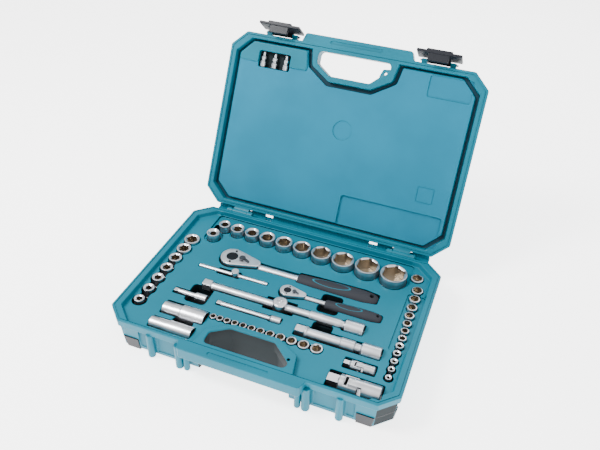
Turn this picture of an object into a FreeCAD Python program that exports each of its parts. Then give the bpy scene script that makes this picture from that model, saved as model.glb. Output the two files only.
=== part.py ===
"""Socket wrench set in a hinged carrying case, standing open. Millimetres.

The origin is on the table under the middle of the case. +X runs along the hinge to the right,
+Y towards the hinge and +Z up. The lid is drawn closed and then turned open about the hinge.
"""
import FreeCAD, Part
import math
import os

V = FreeCAD.Vector

# Case
HALF_W = 215.0  # half the width of the rim
HALF_D = 147.2  # half the depth of the rim
RIM_Z = 56.0  # height of the rim, where base and lid meet
CORNER_X = 25.0  # length of a corner's bevel along X
CORNER_Y = 24.0
DRAFT = 7.0  # how far the walls lean in from rim to floor
WALL = 2.5  # thickness of the moulded skin
FLANGE = 13.0  # width of the flat rim at the sides
FLANGE_FRONT = 5.7
TRAY_Z = 48.0  # top of the tool tray
SHELF_Z = 45.0  # lower shelf round the standing sockets
LID_TOP_Z = 88.0
LID_OPEN = 118.3  # angle of the open lid, in degrees
PANEL_Z = 60.0  # the lid's inner panel
CHANNEL_Z = 66.0  # bottom of the channel round the panel
PANEL_EDGE = 17.5  # distance of the panel's edge from the rim's outside
CHANNEL_EDGE = 11.0
TERRACE_Z = 57.3  # raised step of the lid's panel that holds the adapters
HINGE_Y = 154.6
HINGE_Z = 50.8
HINGE_X = 142.5  # middle of each hinge
HINGE_HALF = 13.5
LEDGE_Y = 171.0  # back edge of the ledge under the hinges
PIN_R = 2.0
SLOT_X = 93.0  # middle of each slot in the ledge

# Handle, split between base and lid
HANDLE_X = 88.0
HANDLE_Y = -161.0
HANDLE_DEPTH = 20.0  # thickness of each half of the handle
GRIP = [(-61, -137), (-61, -117), (-37, -100), (31, -100), (60, -126), (60, -137)]
GRIP_WALL = [(-75, -150), (-68, -112), (-36, -91), (34, -91), (67, -110), (75, -150)]

# Latches
LATCH_X = 131.0
LATCH_HALF = 35.0
LATCH_Y = -152.0  # pivot
LATCH_Z = 68.0
LATCH_TILT = 12.0  # how far the rest position stands out from the hooked one

# Tools
LEVER_SWING = 40.0  # degrees between a ratchet lever's two settings
BUTTON_TRAVEL = 2.0  # of the larger ratchet; the smaller one's is scaled
UNIVERSAL_YAW = 4.0  # degrees that a universal joint can turn sideways in its pocket
FIT = 0.8  # clearance between a tool and its pocket
TOOL_Z = 46.5  # axis height of the lying bars
HALF_DRIVE = 12.7
QUARTER_DRIVE = 6.35
THREE_EIGHTHS_DRIVE = 9.5
SIDE_LINE = 195.7  # outer line that the side rows of sockets touch
BACK_LINE = 118.5  # line that the back row of sockets touches
BACK_GAP = 2.86
BACK_TOP = 57.5
HALF_LONG = 38.0
BACK_FIRST = (-155.8, 81.0)
BACK_START_X = -148.0
HALF_SIZES = [10, 11, 13, 14, 17, 19, 21, 24, 27, 30, 32]
HALF_BODY = 10.6  # least radius round a half-inch square
QUARTER_BODY = 4.9
HALF_RADII = [10.7, 9.8, 11.6, 12.0, 13.1, 13.9, 14.6, 16.1, 18.0, 19.3, 20.9]
STAR_SIZES = [20, 18, 16, 14, 12, 11, 10]
STAR_POINTS = [18.4, 16.7, 14.8, 12.9, 11.2, 10.1, 9.4]  # width across the star's points
STAR_RADII = [12.5, 11.6, 10.4, 9.5, 9.0, 8.5, 7.8]
STAR_START_Y = 58.3
STAR_PITCH = 25.3
STAR_TOP = 52.0
ROW_FLOOR = 36.0  # floor of the trough that joins a row of wells
QUARTER_SIZES = [14, 13, 12, 11, 10, 9, 8, 7, 6, 5.5, 5, 4.5, 4]
QUARTER_RADII = [9.5, 8.5, 8.2, 7.8, 7.2, 6.5, 6.0, 6.0, 6.0, 6.0, 6.0, 6.0, 6.0]
QUARTER_GAP = 2.9
QUARTER_FIRST = (180.7, 110.6)
QUARTER_START_Y = 84.2
QUARTER_TOP = 50.5
QUARTER_LONG = 25.0
FRONT_RADII = [4.0, 4.2, 4.6, 5.0, 5.3, 5.4, 5.7, 6.3, 6.9, 7.3, 8.0, 8.7]
FRONT_GAP = 2.55
FRONT_START_X = -73.0
FRONT_Y = -82.5
FRONT_TOP = 49.5
FINGER_WELLS = [
    (-122, -94, -116, -104),
    (-128, -96, -66, -30),
    (66, 94, -50, -34),
    (60, 90, -12, 26),
]
FINGER_FLOOR = 28.0


# ---------------------------------------------------------------- basic shapes
def block(x0, x1, y0, y1, z0, z1):
    return Part.makeBox(x1 - x0, y1 - y0, z1 - z0, V(x0, y0, z0))


def face_at(points, z):
    corners = [V(x, y, z) for x, y in points]
    return Part.Face(Part.makePolygon(corners + corners[:1]))


def prism(points, z0, z1):
    return face_at(points, z0).extrude(V(0, 0, z1 - z0))


def tapered(low_points, high_points, z0, z1):
    wires = [face_at(low_points, z0).OuterWire, face_at(high_points, z1).OuterWire]
    return Part.makeLoft(wires, True, True)


def rod(radius, start, end):
    line = V(*end) - V(*start)
    return Part.makeCylinder(radius, line.Length, V(*start), line)


def turned(stations, centre, axis):
    """A turned solid: stations are (distance along the axis, radius)."""
    first, last = stations[0][0], stations[-1][0]
    points = [V(r, 0, s) for s, r in stations]
    outline = [V(0, 0, first)] + points + [V(0, 0, last)]
    face = Part.Face(Part.makePolygon(outline + outline[:1]))
    solid = face.revolve(V(0, 0, 0), V(0, 0, 1), 360)
    turn = FreeCAD.Rotation(V(0, 0, 1), V(*axis))
    solid.Placement = FreeCAD.Placement(V(*centre), turn)
    return solid


def polygon(radii, corners, turn=0.0):
    """Corner points on one radius, or on two radii that take turns."""
    steps = [2 * math.pi * i / corners + turn for i in range(corners)]
    return [
        (radii[i % len(radii)] * math.cos(a), radii[i % len(radii)] * math.sin(a))
        for i, a in enumerate(steps)
    ]


def moved(points, x, y):
    return [(px + x, py + y) for px, py in points]


def square(side, turn=0.0):
    return polygon([side / math.sqrt(2)], 4, math.pi / 4 + turn)


def along_x(shape, x, y, z):
    """Stand a shape drawn along +Z onto +X, at a place."""
    shape.rotate(V(0, 0, 0), V(0, 1, 0), 90)
    shape.translate(V(x, y, z))
    return shape


def joined(shapes):
    first, rest = shapes[0], shapes[1:]
    return first.fuse(rest).removeSplitter() if rest else first


def pear(radius, small, length, z0, z1):
    """A round end that tapers to a smaller round end along +X."""
    big = Part.makeCylinder(radius, z1 - z0, V(0, 0, z0))
    end = Part.makeCylinder(small, z1 - z0, V(length, 0, z0))
    lean = math.asin((radius - small) / length)
    c, s = math.cos(lean), math.sin(lean)
    sides = [
        (radius * s, radius * c),
        (length + small * s, small * c),
        (length + small * s, -small * c),
        (radius * s, -radius * c),
    ]
    return joined([big, end, prism(sides, z0, z1)])


# ---------------------------------------------------------------- case outlines
def outline(inset, front=None, back=None):
    """The case's bevelled rectangle, moved inwards."""
    x, bevel_x, bevel_y = HALF_W - inset, CORNER_X, CORNER_Y
    low = -HALF_D + (inset if front is None else front)
    high = HALF_D - (inset if back is None else back)
    return [
        (-x, low + bevel_y),
        (-x + bevel_x, low),
        (x - bevel_x, low),
        (x, low + bevel_y),
        (x, high - bevel_y),
        (x - bevel_x, high),
        (-x + bevel_x, high),
        (-x, high - bevel_y),
    ]


HANDLE = [
    (-HANDLE_X - 8, -HALF_D + 3),
    (-HANDLE_X, HANDLE_Y),
    (HANDLE_X, HANDLE_Y),
    (HANDLE_X + 8, -HALF_D + 3),
]
FINGER_ROOM = [(-72, -170), (-65, -113), (-36, -95), (34, -95), (64, -111), (72, -170)]


def around_grip(grow):
    """The wall round the grip, widened."""
    (x0, y0), (x1, y1), (x2, y2) = GRIP_WALL[:3]
    (x3, y3), (x4, y4), (x5, y5) = GRIP_WALL[3:]
    return [
        (x0 - grow, y0),
        (x1 - grow, y1 + 0.4 * grow),
        (x2 - 0.4 * grow, y2 + grow),
        (x3 + 0.4 * grow, y3 + grow),
        (x4 + grow, y4 + 0.4 * grow),
        (x5 + grow, y5),
    ]


# ---------------------------------------------------------------- pockets
class Pocket:
    """A well in the tray: a box or a round, with its floor's height."""

    def __init__(self, floor, box=None, disc=None):
        self.floor, self.box, self.disc = floor, box, disc

    def solid(self, grow, top):
        low = self.floor - grow
        if self.disc:
            x, y, r = self.disc
            return Part.makeCylinder(r + grow, top - low, V(x, y, low))
        x0, x1, y0, y1 = self.box
        return block(x0 - grow, x1 + grow, y0 - grow, y1 + grow, low, top)


def trough(x0, x1, y, radius, axis_z):
    """The pocket of a bar that lies along X."""
    reach = radius + FIT
    return Pocket(axis_z - reach, box=(x0 - FIT, x1 + FIT, y - reach, y + reach))


def well(x, y, radius, floor):
    return Pocket(floor - FIT, disc=(x, y, radius + FIT))


# ---------------------------------------------------------------- sockets
def drive_hole(side, depth, x, y, z):
    return prism(moved(square(side + 0.2), x, y), z - 0.1, z + depth)


def socket(x, y, top, length, body_r, nose_r, mouth, drive):
    """A socket that stands on its drive end; mouth is the list of its key's corner points."""
    foot = top - length
    chamfer = 0.8
    step = 0.42 * length
    stations = [
        (0, body_r - chamfer),
        (chamfer, body_r),
        (step, body_r),
        (step + (body_r - nose_r) + 0.01, nose_r),
        (length - chamfer, nose_r),
        (length, nose_r - chamfer),
    ]
    outer = turned(stations, (x, y, foot), (0, 0, 1))
    key = prism(moved(mouth, x, y), foot + 0.5 * length, top + 0.1)
    waist = Part.makeCylinder(0.55 * drive, 0.2 * length, V(x, y, foot + 0.35 * length))
    return outer.cut([key, waist, drive_hole(drive, 0.4 * length, x, y, foot)])


def hex_mouth(across_flats):
    return polygon([across_flats / math.sqrt(3)], 6, math.pi / 6)


def star_mouth(across_points):
    return polygon([across_points / 2, 0.41 * across_points], 12, 0)


def chain(start, radii, gap):
    """Centres of touching discs with a gap between neighbours."""
    places = [start]
    for a, b in zip(radii, radii[1:]):
        places.append(places[-1] + a + b + gap)
    return places


def back_sockets():
    xs = chain(BACK_START_X, HALF_RADII[1:], BACK_GAP)
    centres = [BACK_FIRST] + [(x, BACK_LINE - r) for x, r in zip(xs, HALF_RADII[1:])]
    nodes, pockets = {}, []
    for size, radius, (x, y) in zip(HALF_SIZES, HALF_RADII, centres):
        extra = 2 if size >= 30 else 0
        top = BACK_TOP + extra
        length = HALF_LONG + 2 * extra
        body = max(radius, HALF_BODY)
        nodes[f"hex_socket_{size}"] = socket(
            x, y, top, length, body, radius, hex_mouth(size), HALF_DRIVE
        )
        pockets.append(well(x, y, body, top - length))
    return nodes, pockets


def star_sockets():
    nodes, pockets = {}, []
    rows = zip(STAR_SIZES, STAR_POINTS, STAR_RADII)
    for i, (size, points, radius) in enumerate(rows):
        x = radius - SIDE_LINE
        y = STAR_START_Y - i * STAR_PITCH
        body = max(radius, HALF_BODY)
        nodes[f"star_socket_e{size}"] = socket(
            x, y, STAR_TOP, HALF_LONG, body, radius, star_mouth(points), HALF_DRIVE
        )
        pockets.append(well(x, y, body, STAR_TOP - HALF_LONG))
    last_y = STAR_START_Y - (len(STAR_SIZES) - 1) * STAR_PITCH
    pockets.append(Pocket(ROW_FLOOR, box=(-192, -180, last_y, STAR_START_Y)))
    return nodes, pockets


def quarter_sockets():
    radii = QUARTER_RADII[1:]
    ys = [2 * QUARTER_START_Y - y for y in chain(QUARTER_START_Y, radii, QUARTER_GAP)]
    centres = [QUARTER_FIRST] + [(SIDE_LINE - r, y) for r, y in zip(radii, ys)]
    solids, pockets = [], []
    for size, radius, (x, y) in zip(QUARTER_SIZES, QUARTER_RADII, centres):
        nose = min(radius, 0.68 * size + 1.7)
        solids.append(
            socket(x, y, QUARTER_TOP, QUARTER_LONG, radius, nose, hex_mouth(size), QUARTER_DRIVE)
        )
        pockets.append(well(x, y, radius, QUARTER_TOP - QUARTER_LONG))
    pockets.append(Pocket(ROW_FLOOR, box=(185, 193, ys[-1], ys[0])))
    return {"small_sockets_side_row": Part.makeCompound(solids)}, pockets


def front_sockets():
    xs = chain(FRONT_START_X, FRONT_RADII, FRONT_GAP)
    solids, pockets = [], []
    for radius, x in zip(FRONT_RADII, xs):
        body = max(radius, QUARTER_BODY)
        mouth = hex_mouth(1.35 * radius)
        solids.append(
            socket(x, FRONT_Y, FRONT_TOP, QUARTER_LONG, body, radius, mouth, QUARTER_DRIVE)
        )
        pockets.append(well(x, FRONT_Y, body, FRONT_TOP - QUARTER_LONG))
    return {"small_sockets_front_row": Part.makeCompound(solids)}, pockets


# ---------------------------------------------------------------- ratchets
def ratchet(name, x, y, z, scale, drive, shank_end, grip_end, grip_r):
    """A ratchet lying with its lever up; the drive points down and the handle along +X."""
    k = scale
    head_r, tail = 19 * k, 40 * k
    half = 11 * k  # half the head's thickness
    lid = 2.5 * k  # thickness of the cover plate
    cavity_r, teeth_r = 11.5 * k, 11.5 * k - 0.3
    pawl_x = 17.7 * k
    shank_r = 6.8 * k
    tang_r = 5.2 * k

    head = pear(head_r, 8.5 * k, tail, -half, half)
    cover_outline = pear(head_r - 3 * k, 6.5 * k, 24 * k, half - lid, half)
    cavity = Part.makeCylinder(cavity_r, 2 * half - 3 * k - lid, V(0, 0, 3 * k - half))
    pawl_room = Part.makeCylinder(6.4 * k, 1.7 * half - lid, V(pawl_x, 0, -0.7 * half))
    mouth_r = 9 * k
    mouth = Part.makeCylinder(mouth_r + 0.05, 2 * half, V(0, 0, -2 * half))
    shank = rod(shank_r, (tail - 6 * k, 0, 0), (shank_end, 0, 0))
    tang = rod(tang_r, (shank_end, 0, 0), (grip_end - 6, 0, 0))
    head = joined([head, shank, tang]).cut([cover_outline, cavity, pawl_room, mouth])

    button_r = 9.2 * k
    stem_r = 3 * k
    cover = cover_outline.cut(
        [
            Part.makeCylinder(button_r + 0.3, 4 * lid, V(0, 0, half - 2 * lid)),
            Part.makeCylinder(stem_r + 0.05, 4 * lid, V(pawl_x, 0, half - 2 * lid)),
        ]
    )
    screw_places = [(1.5 * k, 12.8 * k), (1.5 * k, -12.8 * k)]
    screw_r = 1.9 * k
    holes = [
        Part.makeCylinder(screw_r, 2 * lid, V(sx, sy, half - lid)) for sx, sy in screw_places
    ]
    cover = cover.cut(holes)
    screws = []
    for sx, sy in screw_places:
        screw = Part.makeCylinder(screw_r, lid + 0.4 * k, V(sx, sy, half - lid))
        slot = block(sx - 2 * k, sx + 2 * k, sy - 0.3 * k, sy + 0.3 * k, half, half + k)
        screws.append(screw.cut(slot))

    gear_low, gear_high = 3 * k - half + 0.3, half - lid - 3 * k
    gear = prism(polygon([teeth_r, teeth_r - 0.9 * k], 60), gear_low, gear_high)
    boss = Part.makeCylinder(mouth_r, 3 * k + 0.4, V(0, 0, -half))
    anvil = prism(square(drive), -half - 1.0 * drive, -half)
    bore = Part.makeCylinder(4.2 * k + 0.3, half, V(0, 0, gear_high - 5 * k))
    gear = joined([gear, boss, anvil]).cut(bore)

    button_foot = gear_high - 5 * k + BUTTON_TRAVEL * k + 0.3
    button = joined(
        [
            Part.makeCylinder(button_r, lid, V(0, 0, half - lid + 0.3)),
            rod(4.2 * k, (0, 0, button_foot), (0, 0, half - lid + 0.5)),
        ]
    )
    lever = joined(
        [
            Part.makeCylinder(5.2 * k, 2.4 * k, V(pawl_x, 0, half + 0.35)),
            prism(
                moved([(0, -3.4 * k), (13 * k, -2 * k), (13 * k, 2 * k), (0, 3.4 * k)], pawl_x, 0),
                half + 0.35,
                half + 0.35 + 1.7 * k,
            ),
            Part.makeCylinder(stem_r, lid + 0.35 + 0.3 * half, V(pawl_x, 0, 0.7 * half)),
        ]
    )
    lever.rotate(V(pawl_x, 0, 0), V(0, 0, 1), -LEVER_SWING / 2)
    pawl_half = [(-4.4, 0), (-5.9, 2.2), (-4.2, 4.2), (3.6, 3.6), (4.4, 0)]
    pawl_rest = [(px, -py) for px, py in reversed(pawl_half[1:-1])]
    pawl_outline = [(px * k, py * k) for px, py in pawl_half + pawl_rest]
    pawl = prism(moved(pawl_outline, pawl_x, 0), -0.66 * half, 0.7 * half)
    pawl.rotate(V(pawl_x, 0, 0), V(0, 0, 1), -LEVER_SWING / 2)

    grip_long = grip_end - shank_end
    grip = turned(
        [
            (0, 0.72 * grip_r),
            (3, 0.82 * grip_r),
            (0.18 * grip_long, 0.86 * grip_r),
            (0.55 * grip_long, grip_r),
            (0.85 * grip_long, grip_r),
            (grip_long - 4, 0.86 * grip_r),
            (grip_long, 0.6 * grip_r),
        ],
        (shank_end, 0, 0),
        (1, 0, 0),
    )
    hang = Part.makeCylinder(0.22 * grip_r, 4 * grip_r, V(grip_end - 11 * k, 0, -2 * grip_r))
    grip = grip.cut([tang, hang])
    head = head.cut(hang)

    parts = {
        "head": head,
        "cover": cover,
        "screws": Part.makeCompound(screws),
        "grip": grip,
        "drive_gear": gear,
        "pawl": pawl,
        "reversing_lever": lever,
        "release_button": button,
    }
    nodes = {}
    for part, shape in parts.items():
        placed = shape.copy()
        placed.translate(V(x, y, z))
        nodes[f"{name}_{part}"] = placed

    head_floor = z - half
    wide, narrow = head_r + FIT, 15 * k
    pockets = [
        Pocket(head_floor - FIT, box=(x - wide, x + 0.5 * tail, y - wide, y + wide)),
        Pocket(head_floor - FIT, box=(x, x + tail + 9 * k, y - narrow, y + narrow)),
        well(x, y, 0.75 * drive, head_floor - drive),
        trough(x + tail, x + shank_end + 4, y, shank_r + 0.4, z),
        trough(x + shank_end, x + grip_end, y, grip_r, z),
    ]
    return nodes, pockets


# ---------------------------------------------------------------- bars and extensions
def square_end(drive, x, y, z):
    """A square drive that points along -X, its tip at x."""
    return along_x(prism(square(drive), 0, 1.15 * drive + 1), x, y, z)


def extension(x0, x1, y, z, drive, stations):
    """An extension bar: a square at x0 and a square hole at x1."""
    neck = x0 + 1.15 * drive
    bar = turned([(s - neck, r) for s, r in stations], (neck, y, z), (1, 0, 0))
    hole = along_x(prism(square(drive + 0.2), 0, drive + 2.1), x1 - drive - 2, y, z)
    return joined([square_end(drive, x0, y, z), bar]).cut(hole)


def spark_socket(x0, x1, y, z, small_r, big_r, key, drive):
    """A long socket that lies along X, its mouth at x1."""
    length = x1 - x0
    body = turned(
        [
            (0, small_r - 1),
            (1, small_r),
            (0.42 * length, small_r),
            (0.42 * length + 2, big_r),
            (length - 1, big_r),
            (length, big_r - 1),
        ],
        (x0, y, z),
        (1, 0, 0),
    )
    mouth = along_x(prism(hex_mouth(key), 0, 0.58 * length), x0 + 0.43 * length, y, z)
    back = along_x(prism(square(drive + 0.2), 0, 0.5 * length), x0 - 0.1, y, z)
    return body.cut([mouth, back])


def universal_joint(name, x0, x1, y, z, radius, drive):
    """Two forks and a cross; the square is at x0 and the square hole at x1."""
    centre = 0.5 * (x0 + x1) - 0.1 * radius
    slot = 0.62 * radius  # half the gap between a fork's ears
    arm = 0.62 * radius - 0.25  # half the cross's block
    pin_r = 0.22 * radius
    ear_end = 0.5 * radius
    clear = 0.95 * radius

    neck = x0 + 1.15 * drive
    shank = turned(
        [(0, 0.55 * radius), (1, 0.62 * radius), (3, radius), (centre - neck + ear_end, radius)],
        (neck, y, z),
        (1, 0, 0),
    )
    tall = 2 * radius
    gap_one = block(centre - clear, centre + radius, y - slot, y + slot, z - tall, z + tall)
    ears_one = block(neck, centre + ear_end, y - radius, y + radius, z - slot, z + slot)
    stem_one = block(neck - 1, centre - clear - 1.0, y - radius, y + radius, z - radius, z + radius)
    driver = shank.cut(gap_one).common(joined([ears_one, stem_one]))
    driver = joined([driver, square_end(drive, x0, y, z)])
    driver = driver.cut(rod(pin_r + 0.05, (centre, y - radius - 1, z), (centre, y + radius + 1, z)))

    tube = turned(
        [(-ear_end, radius), (x1 - centre - 1, radius), (x1 - centre, radius - 1)],
        (centre, y, z),
        (1, 0, 0),
    )
    gap_two = block(centre - radius, centre + clear, y - radius, y + radius, z - slot, z + slot)
    ear_half = slot - 0.1 * radius
    ears_two = block(centre - ear_end, x1, y - ear_half, y + ear_half, z - radius, z + radius)
    stem_two = block(centre + clear + 1.0, x1 + 1, y - radius, y + radius, z - radius, z + radius)
    hole = along_x(prism(square(drive + 0.2), 0, drive + 2.1), x1 - drive - 2, y, z)
    driven = tube.cut(gap_two).common(joined([ears_two, stem_two])).cut(hole)
    driven = driven.cut(rod(pin_r + 0.05, (centre, y, z - radius - 1), (centre, y, z + radius + 1)))

    core = block(centre - arm, centre + arm, y - arm, y + arm, z - arm, z + arm)
    reach = 0.93 * radius
    cross = joined(
        [
            core,
            rod(pin_r, (centre, y - reach, z), (centre, y + reach, z)),
            rod(pin_r, (centre, y, z - reach), (centre, y, z + reach)),
        ]
    )
    nodes = {
        f"{name}_drive_fork": driver,
        f"{name}_cross": cross,
        f"{name}_socket_fork": driven,
    }
    room = radius + FIT
    swing = math.hypot(x1 - centre, radius)
    side = room + swing * math.sin(math.radians(UNIVERSAL_YAW)) + 0.5
    pockets = [
        trough(x0, centre, y, radius, z),
        Pocket(z - room, box=(centre, centre + swing + FIT, y - side, y + side)),
        Pocket(
            z - 1.3 * radius - FIT,
            box=(centre - 1.3 * radius, centre + 1.3 * radius, y - side, y + side),
        ),
    ]
    return nodes, pockets


def long_bars():
    """The extension bars, with the head that slides on the longest one."""
    y_long, y_mid, y_short = -25.0, -58.3, -53.6
    long_x0, long_x1 = -118.5, 135.5
    neck = long_x0 + 1.15 * HALF_DRIVE
    nodes = {
        "extension_250": extension(
            long_x0, long_x1, y_long, TOOL_Z, HALF_DRIVE,
            [(neck, 5.2), (neck + 1, 6.1), (54, 6.1), (55, 7.4), (100, 7.4), (102, 6.0),
             (106, 6.0), (109, 10.6), (long_x1 - 1, 10.6), (long_x1, 9.8)],
        ),
        "extension_125": extension(
            44.5, 170.3, y_mid, TOOL_Z, HALF_DRIVE,
            [(59.1, 8.2), (60, 8.9), (62, 8.9), (64, 7.4), (112, 7.4), (113, 8.4), (132, 8.4),
             (134, 6.6), (141, 6.6), (144, 10.8), (169.3, 10.8), (170.3, 10.0)],
        ),
        "quarter_extension_100": extension(
            -81.6, 20.3, y_short, TOOL_Z, QUARTER_DRIVE,
            [(-74.3, 3.0), (-73.5, 3.6), (3, 3.6), (6, 5.9), (19.5, 5.9), (20.3, 5.3)],
        ),
        "quarter_extension_50": extension(
            -152.0, -98.5, y_short, TOOL_Z, QUARTER_DRIVE,
            [(-144.7, 3.4), (-144, 4.0), (-118, 4.0), (-115, 6.0), (-99.3, 6.0), (-98.5, 5.4)],
        ),
    }
    head_x, head_r = 7.2, 11.0
    slide_r = 6.2
    head = turned(
        [(0, head_r - 1), (1, head_r), (25.5, head_r), (26.5, head_r - 1)],
        (head_x, y_long, 57 - 26.5),
        (0, 0, 1),
    )
    head = joined([head, prism(moved(square(HALF_DRIVE), head_x, y_long), 19.5, 31)])
    head = head.cut(rod(slide_r, (head_x - 20, y_long, TOOL_Z), (head_x + 20, y_long, TOOL_Z)))
    nodes["sliding_head"] = head

    pockets = [
        trough(long_x0, long_x1 - 22, y_long, 7.4, TOOL_Z),
        trough(long_x1 - 30, long_x1, y_long, 10.8, TOOL_Z),
        trough(44.5, 170.3, y_mid, 10.8, TOOL_Z),
        trough(-81.6, 8, y_short, 4.6, TOOL_Z),
        trough(0, 20.3, y_short, 5.9, TOOL_Z),
        trough(-152, -98.5, y_short, 6.0, TOOL_Z),
        Pocket(18.0, box=(-17.5, 31.5, y_long - 12.5, y_long + 12.5)),
    ]
    return nodes, pockets


def tee_bar():
    x0, x1, y, z = -144.0, -28.0, 10.5, TOOL_Z
    bar_r = 3.2
    bar = turned(
        [(0, bar_r - 0.8), (0.8, bar_r), (x1 - x0 - 0.8, bar_r), (x1 - x0, bar_r - 0.8)],
        (x0, y, z),
        (1, 0, 0),
    )
    stops = [rod(1.2, (x, y, z), (x, y, z + bar_r + 0.5)) for x in (x0 + 7, x1 - 7)]
    head_x, head_r = -82.0, 5.8
    head = turned(
        [(0, head_r - 0.6), (0.6, head_r), (16.4, head_r), (17, head_r - 0.6)],
        (head_x, y, 39.0),
        (0, 0, 1),
    )
    head = joined([head, prism(moved(square(QUARTER_DRIVE), head_x, y), 31, 40)])
    head = head.cut(rod(bar_r + 0.08, (head_x - 10, y, z), (head_x + 10, y, z)))
    nodes = {"tee_bar": joined([bar] + stops), "tee_bar_head": head}
    pockets = [
        trough(x0, x1, y, bar_r + 0.6, z),
        Pocket(29.8, box=(-112, -74, y - 7.2, y + 7.2)),
    ]
    return nodes, pockets


# ---------------------------------------------------------------- case parts
def base_and_tray(pockets):
    """The outer shell of the base, and the tool tray that fills it."""
    body = joined([
        tapered(outline(DRAFT), outline(0), 0, RIM_Z),
        prism(HANDLE, RIM_Z - HANDLE_DEPTH, RIM_Z),
    ])
    tray = prism(outline(FLANGE, FLANGE_FRONT, 8.0), TRAY_Z, RIM_Z + 1).cut(
        prism(GRIP_WALL, 0, RIM_Z + 2)
    )
    shelf = block(-172, 172, 76, 139, SHELF_Z, TRAY_Z + 1)
    void = tapered(outline(DRAFT + WALL), outline(WALL + 2), WALL, TRAY_Z - WALL)
    keep = [prism(around_grip(WALL), 0, RIM_Z)]
    keep += [block(-174.5, 174.5, 73.5, HALF_D, SHELF_Z - WALL, TRAY_Z)]
    for side in (-1, 1):
        keep.append(latch_recess(side, WALL))
        keep.append(foot_notch(side, WALL))
    tray_room = prism(outline(FLANGE, FLANGE_FRONT, 8.0), WALL, RIM_Z).cut(keep[:1] + keep[2:])
    void = void.cut(keep + [p.solid(WALL, RIM_Z) for p in pockets])
    cuts = [tray, shelf, void, prism(GRIP, -1, RIM_Z + 1)]
    cuts.append(prism(FINGER_ROOM, -1, RIM_Z - HANDLE_DEPTH))
    for side in (-1, 1):
        cuts.append(latch_recess(side, 0))
        cuts.append(foot_notch(side, 0))
    body = body.cut(cuts + [p.solid(0, RIM_Z + 1) for p in pockets])
    tray = max(body.common(tray_room).Solids, key=lambda solid: solid.Volume)
    shell = joined([body.cut(tray)] + hinge_ledge()).cut(hinge_bores(PIN_R))
    return shell, tray


def latch_recess(side, grow):
    """The hollow in the front wall that a latch hooks under."""
    low, high = sorted((side * 100.0, side * 162.0))
    return block(low - grow, high + grow, -HALF_D - 5, -139 + grow, 10 - grow, 46 + grow)


def foot_notch(side, grow):
    """The corner of the base that a foot pad fills."""
    reach = 3.0 + grow
    inner = tapered(outline(DRAFT + reach), outline(reach), 0, RIM_Z)
    low, high = sorted((side * (163.0 - grow), side * 230.0))
    corner = block(low, high, -HALF_D - 5, -112 + grow, -1, 22 + grow)
    return corner.cut(inner)


def corner_foot(side):
    outer = tapered(outline(DRAFT - 0.6), outline(-0.6), 0, RIM_Z)
    return outer.common(foot_notch(side, 0))


def hinge_ledge():
    """The ledge behind the base, with ears at each side of the lid's straps."""
    ledge = block(-188, 188, HALF_D - 4, LEDGE_Y, 38, 44)
    lip = block(-188, 188, LEDGE_Y - 3.2, LEDGE_Y, 44, 48.2)
    slots = [block(x - 7, x + 7, LEDGE_Y - 11, LEDGE_Y - 4, 30, 50) for x in (-SLOT_X, SLOT_X)]
    ears = []
    for middle in (-HINGE_X, HINGE_X):
        for side in (-1, 1):
            near = middle + side * (HINGE_HALF + 0.5)
            low, high = sorted((near, near + side * 9))
            ears.append(rod(5.0, (low, HINGE_Y, HINGE_Z), (high, HINGE_Y, HINGE_Z)))
            ears.append(block(low, high, HALF_D - 4, HINGE_Y + 5, 44, HINGE_Z))
    return [joined([ledge, lip]).cut(slots)] + ears


def hinge_bores(radius):
    return [
        rod(radius, (x - 22, HINGE_Y, HINGE_Z), (x + 22, HINGE_Y, HINGE_Z))
        for x in (-HINGE_X, HINGE_X)
    ]


def adapters():
    """Three adapters in the lid, their tips towards the handle."""
    body = [(0, 4.2), (0.6, 4.8), (9, 4.8), (10, 3.6), (12, 3.6)]
    tip = [(13, 4.4), (17, 4.4), (18, 2.6), (24, 2.4)]
    return Part.makeCompound(
        [turned(body + tip, (x, -95.0, 62.4), (0, -1, 0)) for x in (-155, -135, -115)]
    )


def lid_shell():
    body = joined([
        tapered(outline(0), outline(DRAFT), RIM_Z, LID_TOP_Z),
        prism(HANDLE, RIM_Z, RIM_Z + HANDLE_DEPTH),
    ])
    room = prism(outline(CHANNEL_EDGE, 9.0, 9.0), RIM_Z - 1, CHANNEL_Z)
    room = room.cut(prism(GRIP_WALL, 0, LID_TOP_Z))
    plateau = prism(outline(PANEL_EDGE, 13.0, 14.0), PANEL_Z, CHANNEL_Z + 1)
    terrace = prism(
        [(-197.5, -112), (-175, -134.2), (-78, -134.2), (-73, -98), (-197.5, -98)],
        TERRACE_Z,
        CHANNEL_Z + 1,
    )
    raised = joined([plateau, terrace]).cut(prism(around_grip(7.5), 0, LID_TOP_Z))
    socket_room = block(24, 192, 84, 133, PANEL_Z - 1, 64.0)
    joint_room = block(124, 192, -132, -98, PANEL_Z - 1, 62.0)
    head_room = Part.makeCylinder(16, 3, V(3, -19, PANEL_Z - 1))
    adapter_room = block(-163, -107, -121, -93.5, RIM_Z, 68.0)
    room = room.cut(raised)
    inner = tapered(
        outline(WALL + 2), outline(DRAFT + WALL), CHANNEL_Z + WALL, LID_TOP_Z - WALL
    )
    keep = [prism(around_grip(WALL), 0, LID_TOP_Z + 1)]
    keep.append(block(-165.5, -104.5, -123.5, -91, RIM_Z, 70.5))
    inner = inner.cut(keep)
    grip = prism(GRIP, 0, LID_TOP_Z + 1)
    fingers = prism(FINGER_ROOM, RIM_Z + HANDLE_DEPTH, LID_TOP_Z + 1)
    body = body.cut([room, socket_room, joint_room, head_room, adapter_room, inner, grip, fingers])
    tab = prism([(44, -112), (49, -126), (61, -126), (61, -108)], RIM_Z, RIM_Z + 6)
    hole = Part.makeCylinder(2.6, 20, V(54, -119.5, RIM_Z - 5))
    body = joined([body] + lid_hinges() + latch_blocks() + [tab])
    return body.cut(hinge_bores(PIN_R + 0.05) + [hole] + latch_bores(1.5))


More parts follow.
